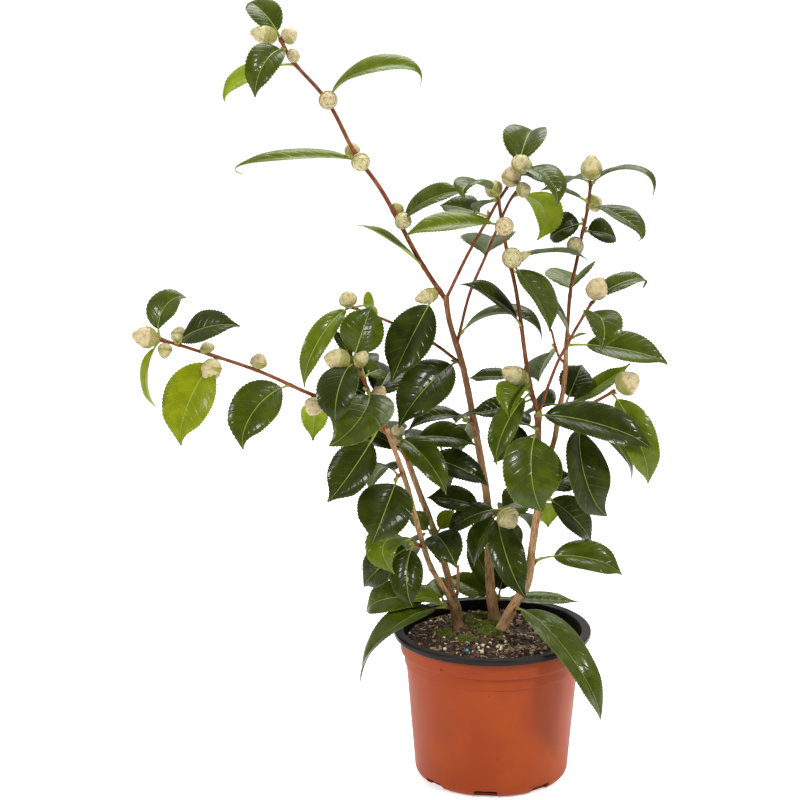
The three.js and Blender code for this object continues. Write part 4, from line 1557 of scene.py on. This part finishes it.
@dataclass
class Wood:
    """The three trunks and their boughs, with the bark's relief, old leaf scars and fork collars."""

    BARK, CUT = 0, 1

    plan: Framework
    sides: int = 36
    step: float = 1.6
    settling_reach: float = 12
    sunk: float = 1.5
    flare_tall: float = 5
    flare: float = 0.45
    buttresses: int = 5
    buttress: float = 0.1
    collar: float = 0.3
    collar_reach: float = 3
    joint_swell: float = 0.11
    joint_reach: float = 5
    ridge_depth: float = 0.22
    knob_depth: float = 0.3
    fine_depth: float = 0.08
    scar_spacing: float = 12
    scar_height: float = 0.55
    scar_reach: float = 1.1
    bark: Bark = Bark(
        "Camellia bark, grown", "#AC865C", "#8E6040", "#5A3C28", "#C8A67E", 190, 330, 0.72,
    )
    cut: Skin = Skin("Camellia wood, cut", "#C9A878", "#A98455", 0.7)

    def radius(self, name: str) -> Callable[[float, Array], Array]:
        """Gives the function of a limb's radius, with all its relief.

        Args:
            name: The limb's name.

        Returns:
            A function of the distance walked in mm and the ring's angles.
        """
        limb = LIMBS[name]
        length = self.plan.lines[name].length
        rolls = random.Random(name)
        parent = LIMBS.get(limb.on)
        hidden = (parent.thick + parent.thin) / 4 if parent else 0
        scars = [
            (walked + rolls.uniform(-4, 4), rolls.uniform(0, math.tau))
            for walked in np.arange(12, length - 4, self.scar_spacing)
        ]
        joints = [other.at * length for other in STEMS.values() if other.on == name]
        seed = rolls.uniform(0, 50)

        def swelling(walked: float, plain: float) -> float:
            flare = self.flare * math.exp(-walked / self.flare_tall) if limb.foot else 0
            swell = plain * (1 + flare)
            if parent:
                swell += self.collar * plain * math.exp(-max(0.0, walked - hidden) / self.collar_reach)
            return swell + sum(
                self.joint_swell * plain * math.exp(-((walked - joint) / self.joint_reach) ** 2)
                for joint in joints
            )

        def relief(walked: float, angle: float, plain: float) -> float:
            way = Vector((math.cos(angle), math.sin(angle), 0))
            ridges = noise.noise(way * 2.6 + Vector((0, seed, walked / 16)))
            knobs = noise.noise(way * 1.1 + Vector((seed, 0, walked / 9)))
            fine = noise.noise(way * 7 + Vector((0, seed, walked / 3.5)))
            height = ridges * self.ridge_depth + knobs * self.knob_depth + fine * self.fine_depth
            for place, turn in scars:
                away = ((walked - place) / self.scar_reach) ** 2 + ((math.cos(angle - turn) - 1) * 8) ** 2
                if away < 9:
                    height += self.scar_height * math.exp(-away)
            if limb.foot:
                lobes = math.cos(self.buttresses * angle + seed)
                height += self.buttress * plain * lobes * math.exp(-walked / self.flare_tall)
            return height

        def reach(walked: float, angles: Array) -> Array:
            plain = (limb.thick + (limb.thin - limb.thick) * (walked / length)) / 2
            return swelling(walked, plain) + np.array([relief(walked, angle, plain) for angle in angles])

        return reach

    def build(self) -> None:
        """Builds all limbs as one piece with a skin for each."""
        book = MeshBook("limb")
        for name, limb in LIMBS.items():
            settling = self.settling_reach if limb.foot else 0
            rings, places = stem_rings(
                self.plan.lines[name], self.step, self.sides, self.radius(name), settling)
            if limb.foot:
                rings[0][:, 2] = np.minimum(rings[0][:, 2], self.plan.soil_top - self.sunk)
            book.skin(rings, self.BARK, places, cap=self.CUT if name == "left_cut_stub" else self.BARK)
        piece = book.piece("trunks_and_boughs", [self.bark.material(), self.cut.material()], 60)
        finish_piece(piece, "bark", *LIMBS)


@dataclass
class Growth:
    """All that grows on one stem: the fixed leaves and buds, and the leaves of the seeded rule."""

    name: str
    mass: Mass
    line: Path
    leaves: list[Leaf]

    def joint(self, item: Leaf | Bud) -> Array:
        """Gives the point where a leaf or a bud joins the stem."""
        return self.line.at(item.along)


@dataclass
class SeededRule:
    """The rule that adds leaves on the far side, drawn as the solids were."""

    plan: Framework
    seed: int = 41
    tries_each: int = 8
    tolerance: float = 0.2
    multiplier: int = 1664525
    increment: int = 1013904223
    size: int = 2 ** 32
    state: int = 0

    def draw(self, low: float, spread: float) -> float:
        """Gives the generator's next number, from its low end up over its spread."""
        self.state = (self.state * self.multiplier + self.increment) % self.size
        return low + spread * (self.state / self.size)

    def try_leaf(self) -> Leaf:
        """Draws one leaf, its numbers in a fixed order."""
        along = self.draw(0.25, 0.7)
        heading = math.radians(self.draw(35, 110))
        rise = math.radians(self.draw(-45, 60))
        reach = self.draw(46, 16)
        level = reach * math.cos(rise)
        way = (level * math.cos(heading), level * math.sin(heading), reach * math.sin(rise))
        width, arch, roll = self.draw(26, 12), self.draw(6, 8), self.draw(-25, 50)
        return Leaf(along, way, width, arch, roll, tint=Tint.DEEP)

    def grow(self) -> list[Growth]:
        """Draws the leaves of every mass, and keeps each whose tip its solid has.

        Returns:
            One growth for each mass.
        """
        self.state = self.seed
        grown = []
        for name, mass in MASSES.items():
            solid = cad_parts[name].data
            corners = np.empty(len(solid.vertices) * 3)
            solid.vertices.foreach_get("co", corners)
            corners = corners.reshape(-1, 3) / MM
            growth = Growth(name, mass, self.plan.lines[name], list(mass.leaves))
            tries = 0
            while len(growth.leaves) < len(mass.leaves) + mass.rear and tries < mass.rear * self.tries_each:
                tries += 1
                leaf = self.try_leaf()
                tip = growth.joint(leaf) + np.array(leaf.reach)
                if np.linalg.norm(corners - tip, axis=1).min() < self.tolerance:
                    growth.leaves.append(leaf)
            LOG.info("%s: %d leaves", name, len(growth.leaves))
            grown.append(growth)
        return grown


def leaf_frame(leaf: Leaf) -> tuple[Array, Array]:
    """Gives a leaf's upward and sideways directions."""
    forward = unit(leaf.reach)
    up = across_from(forward, (0, 0, 1))
    roll = math.radians(leaf.roll)
    up = up * math.cos(roll) + np.cross(forward, up) * math.sin(roll)
    return up, np.cross(forward, up)


def leaf_midrib(joint: Array, leaf: Leaf) -> Path:
    """Gives a leaf's bowed midrib from its joint to its tip."""
    up, side = leaf_frame(leaf)
    reach = np.array(leaf.reach, float)
    bow = up * leaf.arch / 0.75 + side * leaf.sweep / 0.75
    return bezier(joint, joint + 0.25 * reach + bow, joint + leaf.hook * reach + bow, joint + reach)


@dataclass
class Leaves:
    """Camellia leaves: toothed blades with a drawn-out tip, cushions between the veins and a pale midrib."""

    growths: list[Growth]
    tooth: float = 2.3
    tooth_point: float = 0.7
    tooth_depth: float = 0.4
    thickness: float = 0.5
    columns: tuple[float, ...] = (0.22, 0.42, 0.62, 0.82, 1)
    rib_width: float = 0.42
    rib_depth: float = 0.5
    rib_rise: float = 0.05
    cushion: float = 0.14
    bulge: float = 0.1
    blades: tuple[Blade, ...] = (
        # Deep green: partly the leaf's own dark green, partly painted shade for leaves inside the crown.
        Blade("Camellia blade, deep green", "#222A03", "#2B3504", "#5C6824", 0.34, 0.2),
        Blade("Camellia blade, green", "#323D04", "#3D4906", "#6E7C2A", 0.34, 0.2),
        Blade("Camellia blade, fresh green", "#4A5706", "#55620A", "#84902F", 0.36, 0.2),
        Blade("Camellia blade, lit through", "#666F05", "#727C08", "#929C30", 0.4, 0.1, vein_share=0.18),
    )
    backs: tuple[Blade, ...] = (
        # Dull underside: its grey-green is partly its own paler colour and partly painted sheen.
        Blade("Camellia blade underside, dull", "#4C5834", "#5A6642", "#6E7C48", 0.45, 0.0),
        Blade("Camellia blade underside, lit through", "#748418", "#849424", "#A4AE48", 0.5, 0.0),
    )
    rib: Skin = Skin("Camellia midrib, pale", "#7F8E34", "#6E7C2C", 0.45)

    def half_width(self, t: float) -> float:
        """Gives half the width of a blade at a share of its length, as a share of its greatest."""
        plain = math.sin(math.pi * t ** 0.82) ** 0.78
        narrowing = min(1.0, max(0.0, (t - 0.7) / 0.27))
        return plain * (1 - 0.55 * narrowing * narrowing * (3 - 2 * narrowing))

    def with_rib(self, values: Array, left: float, right: float) -> Array:
        """Puts the midrib's two values between those of the left and the right half."""
        each = len(self.columns)
        return np.concatenate([values[:each], [left, right], values[each:]])

    def finish_columns(self, tint: Tint) -> list[int]:
        """Gives the finish number of each column of faces round a blade, upper side first."""
        back = len(self.blades) + (tint in (Tint.LIT, Tint.FRESH))
        rib = len(self.blades) + len(self.backs)
        half = len(self.columns)
        return [number for side in (tint.value, back) for number in [side] * half + [rib] + [side] * half]

    def add_blade(self, book: MeshBook, joint: Array, leaf: Leaf, rolls: random.Random) -> None:
        """Adds one blade to a book.

        Args:
            book: The joined mesh it goes into.
            joint: Where the leaf joins its stem.
            leaf: The leaf.
            rolls: The generator of its small differences.
        """
        side = leaf_frame(leaf)[1]
        midrib = leaf_midrib(joint, leaf)
        stalk = leaf.stalk / midrib.length
        teeth = max(8, round(midrib.length * (1 - stalk) / self.tooth))
        shares = [share for k in range(teeth) for share in (k / teeth, (k + self.tooth_point) / teeth)]
        fold = math.radians(leaf.fold)
        wave, turn = rolls.uniform(0.02, 0.07), rolls.uniform(0, math.tau)
        twist = math.radians(rolls.uniform(-9, 9))
        bulge = self.bulge * rolls.uniform(0.7, 1.3)
        out = np.array([*(-v for v in reversed(self.columns)), *self.columns])
        spread, hand = np.abs(out), np.sign(out)
        rings, places = [], []
        for k, t in enumerate(shares):
            share = stalk + (1 - stalk) * t
            ahead = midrib.ahead(share)
            right = across_from(ahead, side)
            above = np.cross(right, ahead)
            lean = twist * (t - 0.3) + math.radians(leaf.twist) * share
            cosine, sine = math.cos(lean), math.sin(lean)
            right, above = right * cosine + above * sine, above * cosine - right * sine
            half = max(0.9, leaf.width / 2 * self.half_width(t))
            tooth = self.tooth_depth * min(1.0, half / 6) * (1 if k % 2 else -1)
            rib = max(0.12, self.rib_width * (1 - 0.75 * t))
            flat = out * half + hand * np.where(spread == 1, tooth, 0)
            rise = half * (spread * math.sin(fold) + bulge * 4 * spread * (1 - spread))
            swell = np.abs(np.sin(math.pi * (t * VEIN_PAIRS - VEIN_LEAN * spread)))
            rise = rise + self.cushion * swell * np.sin(math.pi * np.minimum(spread, 1)) * min(1, half / 8)
            rise = rise + wave * half * spread ** 2 * np.sin(math.tau * 1.4 * t + turn + hand * 1.2)
            top_x = self.with_rib(flat * math.cos(fold), -rib, rib)
            top_z = self.with_rib(rise, self.rib_rise, self.rib_rise)
            back_z = top_z[1:-1] - self.thickness * min(1.0, half / 4)
            back_z[len(self.columns) - 1:len(self.columns) + 1] -= self.rib_depth * (1 - t)
            x = np.concatenate([top_x, top_x[-2:0:-1]])
            z = np.concatenate([top_z, back_z[::-1]])
            rings.append(midrib.at(share) + np.outer(x, right) + np.outer(z, above))
            over = self.with_rib(out, -0.03, 0.03) / 2 + 0.5
            across = np.concatenate([over, over[-2:0:-1], over[:1]])
            places.append(np.stack([np.full(len(across), t), across], -1))
        book.skin(rings, self.finish_columns(leaf.tint), places, tip=midrib.at(1))

    def build(self) -> None:
        """Builds one joined piece of leaves for each stem's group."""
        finishes = [finish.material() for finish in (*self.blades, *self.backs, self.rib)]
        for group in Group:
            book = MeshBook("blade")
            growths = [growth for growth in self.growths if growth.mass.group is group]
            for growth in growths:
                rolls = random.Random(growth.name)
                for leaf in growth.leaves:
                    self.add_blade(book, growth.joint(leaf), leaf, rolls)
            piece = book.piece(f"leaves_{group.value}", finishes, 50)
            finish_piece(piece, "foliage", *(growth.name for growth in growths))


@dataclass
class Shoots:
    """The young stems in the crown, with a knot at each joint, and the stalks of the leaves."""

    BARK, STALK = 0, 1

    growths: list[Growth]
    sides: int = 16
    step: float = 2
    roughness: float = 0.12
    knot: float = 0.28
    knot_reach: float = 1.8
    stalk_sides: int = 8
    stalk_steps: int = 8
    stalk_thick: float = 2.1
    stalk_thin: float = 1.5
    stalk_foot: float = 0.35
    bark: Bark = Bark(
        "Camellia bark, young", "#84481E", "#6E3616", "#38180A", "#A2703E", 230, 420, 0.5,
    )
    stalk: Skin = Skin("Leaf stalk, yellow green", "#7D8A35", "#8F7A3A", 0.42)

    def add_stem(self, book: MeshBook, growth: Growth) -> None:
        """Adds one stem with its knots."""
        line, mass = growth.line, growth.mass
        seed = random.Random(growth.name).uniform(0, 50)
        joints = [item.along * line.length for item in (*growth.leaves, *mass.buds)]

        def reach(walked: float, angles: Array) -> Array:
            plain = (mass.thick + (mass.thin - mass.thick) * walked / line.length) / 2
            plain += sum(self.knot * math.exp(-((walked - joint) / self.knot_reach) ** 2) for joint in joints)
            places = (Vector((math.cos(a) * 2, math.sin(a) * 2 + seed, walked / 8)) for a in angles)
            return plain + self.roughness * np.array([noise.noise(place) for place in places])

        rings, places = stem_rings(line, self.step, self.sides, reach)
        book.skin(rings, self.BARK, places, tip=line.at(1) + line.ahead(1) * mass.thin * 0.5)

    def add_stalk(self, book: MeshBook, joint: Array, leaf: Leaf) -> None:
        """Adds the stalk of one leaf, from its joint to just under its blade."""
        midrib = leaf_midrib(joint, leaf)
        end = min(0.5, (leaf.stalk + 3) / midrib.length)
        side = leaf_frame(leaf)[1]
        rings = []
        for k in range(self.stalk_steps + 1):
            done = k / self.stalk_steps
            ahead = midrib.ahead(end * done)
            right = across_from(ahead, side)
            above = np.cross(ahead, right)
            radius = (self.stalk_thick + (self.stalk_thin - self.stalk_thick) * done) / 2
            radius += self.stalk_foot * math.exp(-k * 1.2)
            centre = midrib.at(end * done) + above * 0.25 * done
            rings.append(ring(centre, radius, even_angles(self.stalk_sides), right, above))
        book.skin(rings, self.STALK)

    def build(self) -> None:
        """Builds all stems and stalks as one joined piece."""
        book = MeshBook("limb")
        for growth in self.growths:
            self.add_stem(book, growth)
            for leaf in growth.leaves:
                self.add_stalk(book, growth.joint(leaf), leaf)
        piece = book.piece("young_shoots", [self.bark.material(), self.stalk.material()], 60)
        finish_piece(piece, "bark")


@dataclass(frozen=True)
class BudForm:
    """Where one bud stands and how large it is, with two directions square to its own."""

    base: Array
    forward: Array
    side: Array
    length: float
    radius: float

    def ring(self, share: float, out: float, angles: Array) -> Array:
        """Gives points round the bud, at a share of its length and a distance out."""
        centre = self.base + self.forward * self.length * share
        return ring(centre, out, angles, self.side, np.cross(self.forward, self.side))


class Scale(IntEnum):
    """The finishes of the buds, in their order."""

    CREAM = 0
    GREEN = 1
    BLUSH = 2
    RIM = 3
    LEAF_BUD = 4


@dataclass
class Buds:
    """Fat flower buds of overlapping scales, and the slim leaf buds in the leaves' joints."""

    growths: list[Growth]
    rows: tuple[Pair, ...] = ((0.0, 0.34), (0.02, 0.5), (0.05, 0.66), (0.1, 0.82), (0.16, 0.95))
    scales_each: int = 3
    row_turn: float = 0.18
    green_share: float = 0.7
    turns: tuple[float, ...] = (-1, -0.9, -0.6, -0.2, 0.2, 0.6, 0.9, 1)
    scale_steps: int = 8
    scale_spread: float = 72
    scale_thick: float = 0.32
    lift: float = 0.45
    row_share: float = 0.45
    foot_lift: float = 0.25
    edge_lift: float = 0.18
    core: float = 0.9
    stem_share: float = 0.1
    leaf_bud: tuple[Pair, ...] = ((0.0, 0.16), (0.2, 0.24), (0.45, 0.26), (0.75, 0.14))
    finishes: tuple[Skin, ...] = (
        Skin("Bud scale, cream", "#B0A67C", "#A2965F", 0.5, 2.2, 0.1),
        Skin("Bud scale, green cream", "#8E8A46", "#74723A", 0.52, 1.2, 0.05),
        Skin("Bud scale, blush cream", "#B2A27E", "#A48F64", 0.5, 2.2, 0.1),
        Skin("Bud scale rim, brown", "#9E8A5A", "#8C764A", 0.6, 0.9),
        Skin("Leaf bud, green", "#7C8A34", "#93803C", 0.45),
    )

    def girth(self, share: float) -> float:
        """Gives a bud's radius at a share of its length, as a share of its greatest radius."""
        rounding = math.sin(math.pi * min(1.0, share) ** 0.86) ** 0.62 if 0 < share < 1 else 0.0
        return rounding * (1 - 0.16 * share ** 3)

    def add_scale(
        self, book: MeshBook, form: BudForm, low: float, high: float, turn: float, layer: int, finish: int,
    ) -> None:
        """Adds one scale that hugs the bud.

        Args:
            book: The joined mesh it goes into.
            form: The bud.
            low: The share of the bud's length where the scale starts.
            high: The share where it ends.
            turn: Its bearing round the bud.
            layer: How many layers lie outside it.
            finish: Its finish number.
        """
        proud = self.lift * (len(self.rows) - layer) * self.row_share
        small = min(1.0, form.radius / 6)
        rings = []
        for k in range(self.scale_steps):
            t = k / self.scale_steps
            share = low + (high - low) * math.sin(t * math.pi / 2)
            spread = math.radians(self.scale_spread) * (1 - t ** 2.6) ** 0.5
            angles = turn + np.array(self.turns) * spread
            lifted = (proud + self.foot_lift + self.edge_lift * t ** 3) * small
            out = form.radius * max(self.girth(share), 0.12) * self.core + lifted
            inner = form.ring(share, out - self.scale_thick, angles)
            rings.append(np.vstack([form.ring(share, out, angles), inner[-2:0:-1]]))
        out = form.radius * max(self.girth(high), 0.1) * self.core + proud * small
        tip = form.ring(high, out, np.array([turn]))[0]
        sides = len(self.turns) - 1
        columns = [Scale.RIM] + [finish] * (sides - 2) + [Scale.RIM] * (sides + 1)
        book.skin(rings, columns, tip=tip)

    def add_bud(self, book: MeshBook, joint: Array, bud: Bud, rolls: random.Random) -> None:
        """Adds one flower bud: a pointed core in rows of scales.

        Args:
            book: The joined mesh it goes into.
            joint: Where the bud joins its stem.
            bud: The bud.
            rolls: The generator of its small differences.
        """
        reach = np.array(bud.reach, float)
        forward = unit(reach)
        side = across_from(forward, (-forward[1], forward[0], 0.01))
        length = float(np.linalg.norm(reach)) * (1 - self.stem_share)
        form = BudForm(joint + reach * self.stem_share, forward, side, length, bud.girth / 2)
        rings = [
            form.ring(share, form.radius * max(self.girth(share), 0.1) * self.core, even_angles(16))
            for share in np.linspace(0.02, 0.97, 12)
        ]
        book.skin(rings, Scale.CREAM, tip=form.base + forward * length)
        start = rolls.uniform(0, math.tau)
        main = rolls.choice((Scale.CREAM, Scale.CREAM, Scale.BLUSH))
        for layer, (low, high) in enumerate(self.rows):
            for k in range(self.scales_each):
                turn = start + math.tau * k / self.scales_each + layer * math.tau * self.row_turn
                finish = Scale.GREEN if layer < 2 and rolls.random() < self.green_share else main
                self.add_scale(book, form, low, high * rolls.uniform(0.94, 1.03), turn, layer, finish)

    def add_leaf_bud(self, book: MeshBook, joint: Array, way: Array, size: float) -> None:
        """Adds one slim pointed leaf bud in a leaf's joint."""
        form = BudForm(joint, way, across_from(way, (0.3, 0.2, 1)), size, size)
        rings = [form.ring(share, size * wide, even_angles(8)) for share, wide in self.leaf_bud]
        book.skin(rings, Scale.LEAF_BUD, tip=joint + way * size)

    def build(self) -> None:
        """Builds the flower buds and the leaf buds as one joined piece."""
        book = MeshBook("bud")
        for growth in self.growths:
            rolls = random.Random(growth.name + " buds")
            for bud in growth.mass.buds:
                self.add_bud(book, growth.joint(bud), bud, rolls)
            for leaf in growth.leaves:
                way = unit(unit(leaf.reach) * 0.7 + growth.line.ahead(leaf.along))
                self.add_leaf_bud(book, growth.joint(leaf) + way * 1.2, way, rolls.uniform(3.5, 6))
        piece = book.piece("buds", [finish.material() for finish in self.finishes], 40)
        finish_piece(piece, "foliage")


@dataclass
class Studio:
    """A white floor, soft light all round, a small soft box on each side and a large one behind."""

    floor_size: float = 30
    floor: Paint = Paint("Matt studio floor, white", "#F7F7F7", 0.9, 0.45)
    camera_place: Point = (-0.070, -1.888, 0.775)
    camera_tilt: float = 75.7
    lens: float = 118.2
    sensor: float = 36
    overhead: float = 1.0
    horizon: float = 0.5
    front_share: float = 0.2
    boxes: tuple[tuple[str, Point, Point, Pair, float], ...] = (
        ("soft box left", (-1.3, -1.1, 1.2), (0, 0, 0.25), (0.36, 0.36), 21),
        ("soft box right", (1.2, -1.0, 1.5), (0, 0, 0.25), (0.3, 0.3), 27),
        ("soft box above", (0.1, 0.8, 1.7), (0, 0, 0.3), (1.2, 1.0), 30),
    )

    def build_camera(self) -> None:
        """Sets the camera at the photograph's viewing angle."""
        data = bpy.data.cameras.new("camera")
        data.lens = self.lens
        data.sensor_width = self.sensor
        camera = bpy.data.objects.new("camera", data)
        camera.location = self.camera_place
        camera.rotation_euler = (math.radians(self.camera_tilt), 0, 0)
        bpy.context.scene.collection.objects.link(camera)
        bpy.context.scene.camera = camera

    def build_floor(self) -> None:
        """Lays the floor."""
        floor = new_shape(bpy.ops.mesh.primitive_plane_add, (0, 0, 0), size=self.floor_size)
        floor.name = "studio_floor"
        floor.data.materials.append(self.floor.material())

    def add_light(self, name: str, place: Point, target: Point, size: Pair, watts: float) -> None:
        """Hangs one soft box.

        Args:
            name: The light's name.
            place: Where it hangs, in metres.
            target: The point it faces.
            size: Its width and height in metres.
            watts: Its power.
        """
        data = bpy.data.lights.new(name, "AREA")
        data.shape = "RECTANGLE"
        data.size, data.size_y = size
        data.energy = watts
        light = bpy.data.objects.new(name, data)
        light.location = place
        light.rotation_euler = (Vector(target) - Vector(place)).to_track_quat("-Z", "Y").to_euler()
        bpy.context.scene.collection.objects.link(light)

    def build_surround(self) -> None:
        """Makes the surround's soft light, which is dimmer in front and shows white to the camera."""
        world = bpy.data.worlds.new("studio")
        world.use_nodes = True
        bpy.context.scene.world = world
        nodes = Nodes(world.node_tree)
        way = nodes.add("TexCoord").outputs["Generated"]
        _, back, up = nodes.add("SeparateXYZ", {0: way}).outputs
        overhead = nodes.ranged(up, 0.05, 0.9, self.horizon, self.overhead)
        glow = nodes.maths("MULTIPLY", overhead, nodes.ranged(back, -0.9, 0.2, self.front_share, 1))
        seen = nodes.add("LightPath").outputs["Is Camera Ray"]
        strength = nodes.add("Mix", {0: seen, 2: glow, 3: 1.0}).outputs[0]
        nodes.feed(world.node_tree.nodes["Background"], {"Color": (1, 1, 1, 1), "Strength": strength})

    def build(self) -> None:
        """Builds the floor and the lights, and shows white as white, as a catalogue picture does."""
        self.build_floor()
        self.build_surround()
        for box in self.boxes:
            self.add_light(*box)
        bpy.context.scene.view_settings.view_transform = "Standard"


def write_sizes() -> None:
    """Updates the view layer."""
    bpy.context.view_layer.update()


def main() -> None:
    """Builds the scene: the camera, the pot and its mix, the wood, the growth and the studio."""
    logging.basicConfig(level=logging.INFO, format="%(name)s: %(message)s")
    studio = Studio()
    studio.build_camera()
    Pot().build()
    PottingMix().build()
    plan = Framework()
    Wood(plan).build()
    growths = SeededRule(plan).grow()
    Leaves(growths).build()
    Shoots(growths).build()
    Buds(growths).build()
    studio.build()
    write_sizes()


if __name__ == "__main__":
    main()
